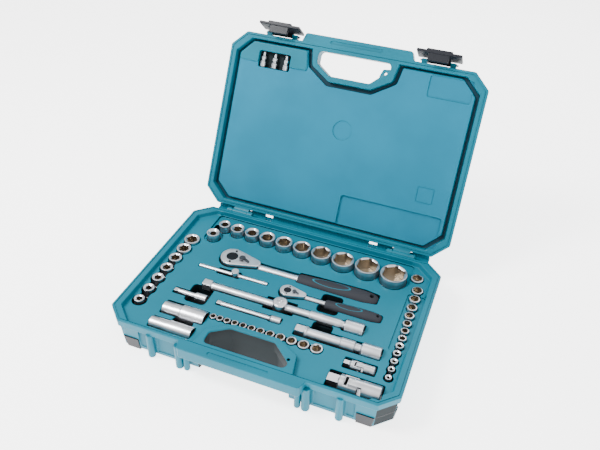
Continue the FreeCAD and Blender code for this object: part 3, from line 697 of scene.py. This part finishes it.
combine(
    base,
    [
        stack(poly(GRIP, 7), [(-2, -2)] + well(26.0, RIM_Z, 0.4, 2.0)[1:]),
        stack(poly(FINGER_ROOM, 9), [(-3, 0), (RIM_Z - HANDLE_DEEP - 3, 0), (RIM_Z - HANDLE_DEEP, 3)]),
        stack(stadium, well(RIM_Z - 1.6, RIM_Z, 0.5, 0.5)),
        lathe([(RIM_Z - 6, 2.2), (RIM_Z - 0.6, 2.2), (RIM_Z + 0.6, 3.4)], (59, -121, 0)),
        lift(stack(case_outline(), rim_groove(3.6), closed=True), RIM_Z),
        stack(rect(-171, 171, 97, 139, 6), well(SHELF_Z, TRAY_Z, 0.8, 0.9)),
        stack(rect(-168, -158, 96, 116, 4), well(32, SHELF_Z, 2, 1)),
        stack(rect(176, 203, -46, 74, 4), well(45.8, TRAY_Z, 0.5, 0.8)),
    ]
    + slots
    + recesses,
    "DIFFERENCE",
)
for well_cut in tool_wells():
    combine(base, [well_cut], "DIFFERENCE")
# Painted shade: darker teal on the well walls and shelf steps, near-black teal deeper down in the wells.
paint(base, TEAL_PAINTED_SHADE, lambda c, n: in_tray(c) and 41.0 < c.z < 47.2 and n.z < 0.7)
paint(base, TEAL_PAINTED_DEEP_SHADE, lambda c, n: in_tray(c) and 5.0 < c.z <= 41.0)


def in_grip(c, n):
    """True on the walls of the finger opening, which is wider below the tray."""
    back = -98.5 if c.z > 40 else -86
    return -72 < c.x < 71 and -140 < c.y < back and 2 < c.z < RIM_Z - 2.5


# Painted shade: near-black teal on the walls of the finger opening.
paint(base, TEAL_PAINTED_DEEP_SHADE, in_grip)
finish(base, "base", ["base_shell", "tool_tray"])


# ------------------------------------------------------------------ the lid
LID_OPENED = Matrix.Translation(HINGE) @ Matrix.Rotation(-LID_OPEN, 4, "X") @ Matrix.Translation(-HINGE)
MOUTH_UP = Matrix.Translation((0, 0, RIM_Z)) @ Matrix.Diagonal((1, 1, -1, 1))


def put(thing, matrix):
    """Move a finished mesh to its place; the matrix is in millimetres."""
    thing.data.transform(Matrix.Scale(MM, 4) @ matrix @ Matrix.Scale(1 / MM, 4))
    if matrix.determinant() < 0:
        thing.data.flip_normals()
    return thing


lid = make("lid_body", [lift(stack(case_outline(), half_case(LID_THICK)), -LID_THICK)], TEAL)
combine(lid, [stack(HANDLE, slab(-HANDLE_DEEP, 0, 4.0, 1.2))], "UNION")
combine(lid, [stack(case_outline(11.0, 9.0, 9.0, 4.0), well(-10.0, 0.0, 1.5, 1.4, lean=0.8))], "DIFFERENCE")
panel = make("panel", [stack(case_outline(17.5, 13.0, 14.0, 5.0), slab(-12.0, -4.0, 0.5, 2.0, low=-0.6))])
terrace = [(-197.2, -112), (-176, -134), (-80, -134), (-75, -101), (-197.2, -101)]
combine(panel, [stack(poly(terrace, 5), slab(-12.0, -1.4, 0.5, 2.2, high=0.3))], "UNION")
combine(panel, [stack(round_grip(7.5, 9.0), [(-20, 0), (10, 0)])], "DIFFERENCE")
apply(panel)
panel_shell = (
    [tuple(v.co / MM) for v in panel.data.vertices],
    [tuple(face.vertices) for face in panel.data.polygons],
)
bpy.data.objects.remove(panel)
combine(lid, [stack(round_grip(0.0), slab(-14.0, 0.0, 0.5, 1.4, low=-0.8))], "UNION")
combine(lid, [panel_shell], "UNION")
grip_side = [(-LID_THICK - 4, 0)] + quarter((-1.6, 0.0), (0.0, -1.6), upright=True) + [(9, -1.6)]
lid_cuts = [
    stack(poly(GRIP, 7), grip_side),
    stack(poly(FINGER_ROOM, 9), [(-LID_THICK - 4, 0), (-HANDLE_DEEP - 3, 0), (-HANDLE_DEEP, 3)]),
    stack(rect(-45, 42, -155.2, -150.2, 2.4), well(-1.6, 0.0, 0.5, 0.5)),
    stack(case_outline(), rim_groove(3.8), closed=True),
    stack(rect(24, 192, 84, 133, 4), well(-8.0, -4.0, 1.0, 0.9)),
    stack(rect(124, 192, -132, -98, 4), well(-6.0, -4.0, 0.8, 0.8)),
    stack(disc(3, -19, 16), well(-5.6, -4.0, 0.6, 0.5)),
    stack(rect(-163, -107, -121, -94, 3), well(-12.0, -1.4, 1.5, 1.0)),
    stack(rect(144, 171, 41, 66, 2), [(-4.8, 0), (0, 0), (0, 1.0), (-4.8, 1.0)], closed=True),
]
for cut in lid_cuts:
    combine(lid, [cut], "DIFFERENCE")
# Painted shade: darker teal in the channel round the panel, near-black teal in the adapter recess.
paint(lid, TEAL_PAINTED_SHADE, lambda c, n: -10.5 < c.z < -9.0 and abs(c.x) < 204 and -139 < c.y < 139)
paint(lid, TEAL_PAINTED_DEEP_SHADE, lambda c, n: -12.5 < c.z <= -9.0 and -164 < c.x < -106 and -122 < c.y < -93)
# Painted sheen: lighter teal on the panel's flat faces and recess floors.
paint(lid, TEAL_PAINTED_SHEEN, lambda c, n: -8.2 < c.z < -3.7 and n.z > 0.9)
put(lid, MOUTH_UP)
straps = []
for x in (-HINGE_X, HINGE_X):
    straps.append(cylinder_x(HINGE.y, HINGE.z, 4.8, x - 13.5, x + 13.5))
    side = [(HALF_D - 3, 57.0), (HINGE.y, HINGE.z), (HINGE.y + 4.75, HINGE.z)]
    side += [(HINGE.y + 2.5, 57.0), (HALF_D - 3, 66.0)]
    straps.append(bar_x(side, x - 13.45, x + 13.45))
ears = []
ear_y, ear_low, ear_high = LATCH_Y - 2.4, LATCH_Z - 6, LATCH_Z + 2.6
ear_side = [(ear_y, ear_low), (-138, ear_low), (-138, ear_high), (ear_y, ear_high)]
for middle_x in (-LATCH_X, LATCH_X):
    for side in (-1, 1):
        low, high = sorted((middle_x + side * 18, middle_x + side * 27))
        ears.append(bar_x(ear_side, low, high))
tab = stack(poly([(44, -112), (49, -126), (64, -128), (64, -106)], 3), slab(RIM_Z + 0.2, RIM_Z + 6, 0.6, 0.6))
combine(lid, straps + ears + [tab], "UNION")
combine(lid, [lathe([(50, 2.6), (70, 2.6)], (54, -119.5, 0))], "DIFFERENCE")
put(lid, LID_OPENED)
finish(lid, "lid", ["lid_shell"])


# ------------------------------------------------------------------ repeats: ridges and ribs
def nodes_tree(name, inputs):
    """A Geometry Nodes tree with named inputs; gives the tree, its input node and a maker."""
    tree = bpy.data.node_groups.new(name, "GeometryNodeTree")
    for label, kind in inputs:
        tree.interface.new_socket(name=label, in_out="INPUT", socket_type=kind)
    tree.interface.new_socket(name="Geometry", in_out="OUTPUT", socket_type="NodeSocketGeometry")
    entry, leave = tree.nodes.new("NodeGroupInput"), tree.nodes.new("NodeGroupOutput")

    def add(kind, links=(), output=0, **settings):
        made = tree.nodes.new(kind)
        for key, value in settings.items():
            setattr(made, key, value)
        for key, value in dict(links).items():
            if isinstance(value, bpy.types.NodeSocket):
                tree.links.new(value, made.inputs[key])
            else:
                made.inputs[key].default_value = value
        return made.outputs[output]

    return tree, entry.outputs, leave.inputs[0], add


def ridge_tree(in_a_row):
    """Small bars set round an axis, or in a row."""
    tree, given, result, add = nodes_tree(
        "row_of_ribs" if in_a_row else "ring_of_ridges",
        [
            ("Count", "NodeSocketInt"),
            ("Spread", "NodeSocketFloat"),
            ("Size", "NodeSocketVector"),
            ("Place", "NodeSocketVector"),
            ("Turn", "NodeSocketVector"),
            ("Material", "NodeSocketMaterial"),
        ],
    )

    def sum_of(operation, a, b):
        return add("ShaderNodeMath", {0: a, 1: b}, operation=operation)

    bar = add("GeometryNodeMeshCube", {"Size": given["Size"]})
    if in_a_row:
        gaps = sum_of("SUBTRACT", given["Count"], 1.0)
        offset = add("ShaderNodeCombineXYZ", {"X": sum_of("DIVIDE", given["Spread"], gaps)})
        start = add("ShaderNodeCombineXYZ", {"X": sum_of("MULTIPLY", given["Spread"], -0.5)})
        line = {"Count": given["Count"], "Start Location": start, "Offset": offset}
        points = add("GeometryNodeMeshLine", line)
        turned = add("ShaderNodeCombineXYZ", {"X": 0.0})
    else:
        circle = {"Vertices": given["Count"], "Radius": given["Spread"]}
        points = add("GeometryNodeMeshCircle", circle)
        share = sum_of("DIVIDE", add("GeometryNodeInputIndex"), given["Count"])
        turned = add("ShaderNodeCombineXYZ", {"Z": sum_of("MULTIPLY", share, 2 * math.pi)})
    copy = {"Points": points, "Instance": bar, "Rotation": turned}
    real = add("GeometryNodeRealizeInstances", {0: add("GeometryNodeInstanceOnPoints", copy)})
    move = {"Geometry": real, "Translation": given["Place"], "Rotation": given["Turn"]}
    colour = {"Geometry": add("GeometryNodeTransform", move), "Material": given["Material"]}
    coloured = add("GeometryNodeSetMaterial", colour)
    tree.links.new(coloured, result)
    return tree


RING, ROW = ridge_tree(False), ridge_tree(True)


def ridges(name, tree, count, spread, size, place, turn, material):
    """A baked set of ridges; lengths in millimetres, turn in radians."""
    thing = bpy.data.objects.new(name, bpy.data.meshes.new(name))
    bpy.context.scene.collection.objects.link(thing)
    live = thing.modifiers.new("ridges", "NODES")
    live.node_group = tree
    keys = {item.name: item.identifier for item in tree.interface.items_tree if item.in_out == "INPUT"}
    given = {
        "Count": count,
        "Spread": spread * MM,
        "Size": [s * MM for s in size],
        "Place": [p * MM for p in place],
        "Turn": list(turn),
        "Material": material,
    }
    for label, value in given.items():
        live[keys[label]] = value
    return apply(thing)


# ------------------------------------------------------------------ sockets
STAR_ACROSS = {20: 18.4, 18: 16.7, 16: 14.8, 14: 12.9, 12: 11.2, 11: 10.1, 10: 9.4}
SIDE_SIZES = [14, 13, 12, 11, 10, 9, 8, 7, 6, 5.5, 5, 4.5, 4]


def socket_shell(x, y, foot, top, body, nose, kind, mouth):
    """A socket standing on its drive end, with an open mouth of a kind and size."""
    length = top - foot
    waist = 0.42 * length
    edge = min(0.9, 0.12 * nose)
    rim = max(mouth * 1.06, nose - 2.1 * edge)
    groove = 0.60 * length
    stations = [
        (0, body - 0.8),
        (0.8, body),
        (waist, body),
        (waist + (body - nose) * 0.8 + 0.6, nose),
        (groove, nose),
        (groove + 0.25, nose - 0.3),
        (groove + 1.1, nose - 0.3),
        (groove + 1.35, nose),
        (length - edge, nose),
        (length - 0.3 * edge, nose - 0.3 * edge),
        (length, nose - edge),
        (length, min(rim, nose - edge - 0.1)),
        (length - max(0.9, 0.6 * (rim - mouth)), mouth, kind),
        (0.52 * length, mouth, kind),
        (0.50 * length, 0.8 * mouth),
    ]
    return lathe(stations, (x, y, foot))


def in_mouth(places):
    """A test for faces inside any of the mouths: places are (x, y, radius, lowest, highest)."""

    def test(c, n):
        for x, y, radius, lowest, highest in places:
            if math.hypot(c.x - x, c.y - y) < radius and lowest < c.z < highest:
                return (c.x - x) * n.x + (c.y - y) * n.y < 0.2 * radius
        return False

    return test


def top_radius(node):
    """The radius of the upper half of a standing socket."""
    low, high = corners(node)
    x, y = (low.x + high.x) / 2, (low.y + high.y) / 2
    spots = [v.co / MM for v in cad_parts[node].data.vertices]
    return max(math.hypot(p.x - x, p.y - y) for p in spots if p.z > high.z - 3)


for name in SOCKET_NODES:
    low, high = corners(name)
    x, y = (low.x + high.x) / 2, (low.y + high.y) / 2
    body, nose = (high.x - low.x) / 2, top_radius(name)
    if name.startswith("hex"):
        kind, mouth = "hex", int(name.split("_")[-1]) / 2
    else:
        kind, mouth = "star", 0.455 * STAR_ACROSS[int(name.split("_e")[-1])]
    shell = socket_shell(x, y, low.z, high.z, body, nose, kind, mouth)
    piece = make(f"{name}_body", [shell], CHROME)
    bottom, top = low.z + 0.49 * (high.z - low.z), high.z - 0.55 * (nose - mouth) - 0.2
    paint(piece, BORE, in_mouth([(x, y, nose - 0.4, bottom, top)]))
    finish(piece, name, [name])

for row, key in (("small_sockets_side_row", lambda s: -s[1]), ("small_sockets_front_row", lambda s: s[0])):
    shells, mouths = [], []
    for i, (x, y, body, foot, top) in enumerate(sorted(row_solids(row), key=key)):
        side = row.endswith("side_row")
        nose = min(body, 0.68 * SIDE_SIZES[i] + 1.7) if side else body
        mouth = SIDE_SIZES[i] / 2 if side else 0.675 * body
        shells.append(socket_shell(x, y, foot, top, body, nose, "hex", mouth))
        mouths.append((x, y, nose - 0.3, foot + 0.49 * (top - foot), top - 0.5))
    piece = make(f"{row}_bodies", shells, CHROME)
    paint(piece, BORE, in_mouth(mouths))
    finish(piece, row, [row])


# ------------------------------------------------------------------ bars that lie along X
def near_axis(first, centre, radius):
    """A test for faces beyond an x and close to a line along X."""
    return lambda c, n: c.x > first and math.hypot(c.y - centre.y, c.z - centre.z) < radius


def square_start(drive, first):
    """Stations of a square drive, from the tip to the first round part."""
    half = drive / 2
    return [
        (0, half - 0.9, "square"),
        (0.9, half, "square"),
        (1.15 * drive - 0.4, half, "square"),
        (1.15 * drive, min(half, first), "round"),
    ]


def square_mouth(drive, length, radius):
    """Stations of a square hole in a bar's end, from the outside in."""
    half = drive / 2 + 0.1
    return [
        (length - 1.0, radius),
        (length - 0.3, radius - 0.4),
        (length, radius - 1.0),
        (length, max(half * 1.25, radius - 2.2) if radius - 2.2 > half * 1.25 else radius - 1.2),
        (length - 0.8, half, "square"),
        (length - drive, half, "square"),
    ]


def bar(node, drive, spans, end_radius):
    """An extension: spans are (x, radius) from its square to its square hole."""
    low, high = corners(node)
    centre = (low + high) / 2
    x0 = low.x
    stations = square_start(drive, spans[0][1]) + [(x - x0, r) for x, r in spans]
    stations += square_mouth(drive, high.x - x0, end_radius)
    shell = lathe(stations, (x0, centre.y, centre.z), (1, 0, 0))
    piece = make(f"{node}_bar", [shell], ROD_CHROME)
    paint(piece, BORE, near_axis(high.x - drive - 1, centre, drive * 0.6))
    return finish(piece, node, [node])


long_bar = [(-103.8, 5.2), (-103, 6.1), (54, 6.1), (55, 7.4), (100, 7.4), (102, 6.0)]
long_bar += [(106, 6.0), (109, 10.6)]
short_bar = [(59.2, 8.2), (60, 8.9), (62, 8.9), (64, 7.4), (112, 7.4), (113, 8.4), (132, 8.4)]
short_bar += [(134, 6.6), (141, 6.6), (144, 10.8)]
bar("extension_250", HALF_DRIVE, long_bar, 10.6)
bar("extension_125", HALF_DRIVE, short_bar, 10.8)
bar("quarter_extension_100", QUARTER_DRIVE, [(-74.2, 3.0), (-73.5, 3.6), (3, 3.6), (6, 5.9)], 5.9)
bar("quarter_extension_50", QUARTER_DRIVE, [(-144.6, 3.4), (-144, 4.0), (-118, 4.0), (-115, 6.0)], 6.0)

SPARK_SOCKETS = (("spark_socket_21", 11.0, 13.0, 10.5), ("spark_socket_16", 9.4, 10.4, 8.0))
for node, small, big, key in SPARK_SOCKETS:  # radius of the thin end, the thick end, the hexagon
    low, high = corners(node)
    centre, length = (low + high) / 2, high.x - low.x
    stations = [
        (0, small - 1.2),
        (0.4, small - 0.4),
        (1.2, small),
        (0.42 * length, small),
        (0.42 * length + 2, big),
        (length - 1, big),
        (length - 0.3, big - 0.3),
        (length, big - 0.9),
        (length, max(key * 1.1, big - 1.6) if big - 1.6 > key else big - 1.2),
        (length - 0.9, key, "hex"),
        (0.5 * length, key, "hex"),
    ]
    turned = lathe(stations, (low.x, centre.y, centre.z), (1, 0, 0))
    piece = make(f"{node}_body", [turned], CHROME)
    paint(piece, BORE, near_axis(low.x + 0.49 * length, centre, key * 1.16))
    finish(piece, node, [node])


# ------------------------------------------------------------------ ratchets
def badge_rubber(name, x, y, long, wide, above):
    """Grip rubber with the plain outline of an oval badge."""
    made = plastic(name, RUBBER_GREY, low=0.6, high=0.74, grain=1500.0, strength=0.25)
    dx = (made.place.axis("X") - x * MM) / (long * MM)
    dy = (made.place.axis("Y") - y * MM) / (wide * MM)
    ring = dx * dx + dy * dy
    band = ring.step(0.80, 0.84) - ring.step(0.98, 1.02)
    band = band * made.place.axis("Z").step(above * MM, (above + 0.2) * MM)
    plain = Field(made.tree, made.shader.inputs["Base Color"].links[0].from_socket)
    return made.set("Base Color", band.mix(plain, BADGE_TEAL)).material


def oval(stations, x, y, z, flat):
    """A body along X with oval rings: stations are (x, half width)."""
    rings = []
    for along, radius in stations:
        turns = [2 * math.pi * i / POINTS for i in range(POINTS)]
        rings.append([(along, y + radius * math.cos(t), z + radius * flat * math.sin(t)) for t in turns])
    return skin(rings)


GRIP_SHAPE = [  # share of the grip's length, share of its half width
    (0, 0.66), (0.012, 0.74), (0.03, 0.8), (0.18, 0.86), (0.36, 0.93), (0.55, 0.99),
    (0.7, 1.0), (0.84, 0.97), (0.92, 0.88), (0.965, 0.74), (0.99, 0.52), (1.0, 0.3),
]
for name in ("half_ratchet", "quarter_ratchet"):
    button, grip_box = middle(f"{name}_release_button"), corners(f"{name}_grip")
    head_low, head_high = corners(f"{name}_head")
    x, y, size = button.x, button.y, (button.x - head_low.x) / 19.0
    z = head_low.z + 11 * size
    shank_end, grip_end = grip_box[0].x, grip_box[1].x
    grip_r = (grip_box[1].y - grip_box[0].y) / 2
    half = 11 * size
    top = z + half
    blank = pear(x, y, 19 * size, 8.5 * size, 40 * size)
    head_shell = stack(blank, slab(z - half, top, 2.6 * size, 1.6 * size))
    piece = make(f"{name}_head_body", [head_shell], CHROME)
    shank_long = shank_end - x - 34 * size
    shank = lathe(
        [(0, 6.0 * size), (4 * size, 7.4 * size), (14 * size, 6.9 * size), (shank_long, 6.4 * size)]
        + [(shank_end - x - 38 * size, 6.8 * size), (shank_long + 6, 7.0 * size)],
        (x + 34 * size, y, z),
        (1, 0, 0),
    )
    combine(piece, [shank], "UNION")
    seat = pear(x, y, 16.15 * size, 6.65 * size, 24 * size)
    combine(piece, [stack(seat, [(top - 2.5 * size, 0), (top + 5, 0)])], "DIFFERENCE")
    finish(piece, name, [f"{name}_head"])

    cover = pear(x, y, 16 * size, 6.5 * size, 24 * size)
    cover_side = slab(top - 2.45 * size, top - 0.1, 0.2, 0.35 * size)
    plate = make(f"{name}_plate", [stack(cover, cover_side)], CHROME)
    holes = [(0, 0, 9.6), (17.7, 0, 3.1), (1.5, -12.8, 2.0), (1.5, 12.8, 2.0)]
    for dx, dy, radius in holes:  # button, lever and two screws
        hole = turned_hole(x + dx * size, y + dy * size, z, z + 2 * half, radius * size)
        combine(plate, [hole], "DIFFERENCE")
    finish(plate, name, [f"{name}_cover"])

    low, high = corners(f"{name}_release_button")
    r = (high.x - low.x) / 2
    stations = [(low.z, 0.4 * r), (high.z - 2.4 * size, 0.44 * r)]
    stations += [(high.z - 2.3 * size, r - 0.5 * size), (high.z - 0.5 * size, r)]
    stations += [(high.z, r - 0.6 * size), (high.z, 0.78 * r)]
    stations += [(high.z - 0.35 * size, 0.74 * r), (high.z - 0.55 * size, 0.3 * r)]
    piece = make(f"{name}_button_body", [lathe(stations, (x, y, 0))], BLACK_STEEL)
    finish(piece, f"{name}_button", [f"{name}_release_button"])

    grip_long = grip_end - shank_end
    stations = [(shank_end + s * grip_long, w * grip_r) for s, w in GRIP_SHAPE]
    centre_x = shank_end + 0.42 * grip_long
    rubber = badge_rubber(f"{name}_rubber", centre_x, y, 0.24 * grip_long, 0.5 * grip_r, z)
    piece = make(f"{name}_grip_body", [oval(stations, x, y, z, 0.82)], rubber)
    hanging_hole = turned_hole(grip_end - 11 * size, y, z - 40, z + 40, 0.26 * grip_r)
    combine(piece, [hanging_hole], "DIFFERENCE")
    finish(piece, name, [f"{name}_grip"])


# ------------------------------------------------------------------ latches and adapters
def in_lid(thing, extra=None):
    """Turn a thing drawn on the closed lid to the open lid."""
    return put(thing, LID_OPENED @ extra if extra else LID_OPENED)


PIVOT = Vector((0, LATCH_Y, LATCH_Z))
TILTED = Matrix.Rotation(-LATCH_TILT, 4, "X")
SWUNG = Matrix.Translation(PIVOT) @ TILTED @ Matrix.Translation(-PIVOT)
for word, x in (("left", -LATCH_X), ("right", LATCH_X)):
    plate = stack(rect(x - 35, x + 35, -160.4, -156.2, 1.2), slab(38.1, 70.3, 1.2, 1.2))
    piece = make(f"latch_{word}_plate", [plate], DARK)
    steps = [
        stack(rect(x - 20, x + 20, -162.9, -158, 1.2), slab(38.1, 46, 1.0, 1.0)),
        stack(rect(x - 15, x + 15, -162.2, -158, 1.2), slab(50, 66, 1.0, 1.0)),
        stack(
            rect(x - 17.4, x + 17.4, -157, LATCH_Y, 0.8),
            slab(LATCH_Z - 3.1, LATCH_Z + 3.1, 0.4, 0.4),
        ),
        cylinder_x(LATCH_Y, LATCH_Z, 3.2, x - 17.5, x + 17.5),
        stack(rect(x - 16, x + 16, -157, -144.6, 1.0), slab(39.6, 44.4, 0.8, 0.8)),
    ]
    for step_shell in steps:
        combine(piece, [step_shell], "UNION")
    combine(piece, [cylinder_x(LATCH_Y, LATCH_Z, 1.55, x - 30, x + 30)], "DIFFERENCE")
    in_lid(piece, SWUNG)
    finish(piece, f"latch_{word}", [f"latch_{word}"])
    size, place = (1.2, 0.9, 12.0), (x, -160.7, 58.0)
    ribs = ridges(f"latch_{word}_ribs", ROW, 9, 34.0, size, place, (0, 0, 0), DARK)
    in_lid(ribs, SWUNG)
    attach(ribs, f"latch_{word}")

adapter = [(0, 3.6), (0.6, 4.6), (8.6, 4.7), (9, 4.4), (10, 3.5), (12, 3.5)]
adapter += [(13, 4.3), (16.6, 4.3), (18, 2.6), (23.4, 2.4), (23.9, 1.8)]
adapters = [lathe(adapter, (x, -95.0, 62.4), (0, -1, 0)) for x in (-155, -135, -115)]
piece = make("lid_adapter_bodies", adapters, CHROME)
in_lid(piece)
finish(piece, "adapters", ["lid_adapters"])


low, high = corners("sliding_head")
x, y, r, half = (low.x + high.x) / 2, (low.y + high.y) / 2, (high.x - low.x) / 2, HALF_DRIVE / 2
spans = [(low.z, half - 0.7, "square"), (low.z + 0.8, half, "square"), (30.4, half, "square")]
spans += [(30.5, r - 1.0), (31.5, r), (high.z - 1.6, r), (high.z - 0.4, r - 1.0)]
spans += [(high.z, r - 2.0), (high.z, 4.6), (high.z - 0.5, 4.2), (high.z - 1.6, 4.0)]
spans += [(high.z - 1.6, 2.6), (high.z - 0.9, 1.6)]
piece = make("sliding_head_body", [lathe(spans, (x, y, 0))], CHROME)
rod_bore = cylinder_x(y, middle("extension_250").z, 6.2, x - 20, x + 20)
combine(piece, [rod_bore], "DIFFERENCE")
finish(piece, "sliding_head", ["sliding_head"])

low, high = corners("tee_bar_head")
x, y, r = (low.x + high.x) / 2, (low.y + high.y) / 2, (high.x - low.x) / 2
size, place = (0.5, 0.55, 5.0), (x, y, high.z - 4.2)
ring = ridges("tee_bar_head_knurl", RING, 28, r - 0.25, size, place, (0, 0, 0), CHROME)
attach(ring, "tee_bar_head")


# ------------------------------------------------------------------ pieces shown as designed
SHOWN = {
    "corner_feet": DARK,
    "hinge_pins": PIN,
    "latch_pins": PIN,
    "tee_bar": ROD_CHROME,
    "tee_bar_head": CHROME,
}
for name in ("half_ratchet", "quarter_ratchet"):
    SHOWN.update({f"{name}_screws": BLACK_STEEL, f"{name}_pawl": BLACK_STEEL})
    SHOWN.update({f"{name}_drive_gear": CHROME, f"{name}_reversing_lever": LEVER_STEEL})
for name in ("half_universal", "quarter_universal"):
    SHOWN.update({f"{name}_{part}": CHROME for part in ("drive_fork", "cross", "socket_fork")})
for name, material in SHOWN.items():
    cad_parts[name].data.materials.clear()
    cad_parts[name].data.materials.append(material)


# ------------------------------------------------------------------ floor, light and camera
FLOOR_REACH = 4000
WHITE = (1, 1, 1, 1)
floor_corners = [(FLOOR_REACH * i, FLOOR_REACH * j, 0) for i, j in ((-1, -1), (1, -1), (1, 1), (-1, 1))]
floor = make("floor", [(floor_corners, [(0, 1, 2, 3)])])
pale = Finish(
    "pale_floor",
    Roughness=0.9,
    Specular_IOR_Level=0.1,
    Emission_Color=WHITE,
    Emission_Strength=3.0,
)
pale.set("Base Color", pale.place.noise(2.0).mix(rgb(250, 250, 250), rgb(252, 252, 252)))
floor.data.materials.append(pale.material)

world = bpy.data.worlds.new("studio")
bpy.context.scene.world = world
world.use_nodes = True
sky = world.node_tree.nodes.new("ShaderNodeTexCoord")
sky = Field(world.node_tree, sky.outputs["Generated"])
LOW_SKY, HIGH_SKY = (0.16, 0.17, 0.18, 1), (1.5, 1.5, 1.5, 1)
tone = sky.axis("Z").step(0.05, 0.75).mix(LOW_SKY, HIGH_SKY)
world.node_tree.links.new(tone.socket, world.node_tree.nodes["Background"].inputs["Color"])


def soft_light(name, place, target, size, power):
    """A square lamp aimed at a target; metres and watts."""
    lamp = bpy.data.lights.new(name, "AREA")
    lamp.shape, lamp.size, lamp.energy = "SQUARE", size, power
    thing = bpy.data.objects.new(name, lamp)
    thing.location = place
    thing.rotation_euler = (Vector(target) - Vector(place)).to_track_quat("-Z", "Y").to_euler()
    bpy.context.scene.collection.objects.link(thing)


soft_light("key", (-0.9, -0.5, 1.5), (0, 0, 0.05), 0.5, 40)
soft_light("fill", (1.2, -1.0, 0.9), (0, 0, 0.1), 0.8, 9)
soft_light("back", (0.2, 1.3, 1.1), (0, 0, 0.1), 0.8, 9)

lens = bpy.data.cameras.new("camera")
lens.sensor_width, lens.lens = 36.0, 39.53
camera = bpy.data.objects.new("camera", lens)
right, up = Vector((0.93206, 0.36111, 0.02950)), Vector((-0.24326, 0.56339, 0.78957))
back = Vector((0.26850, -0.74310, 0.61295))
stand = Matrix.Translation(Vector((265.2, -666.05, 734.9)) * MM)
camera.matrix_world = stand @ Matrix((right, up, back)).transposed().to_4x4()
bpy.context.scene.collection.objects.link(camera)
bpy.context.scene.camera = camera
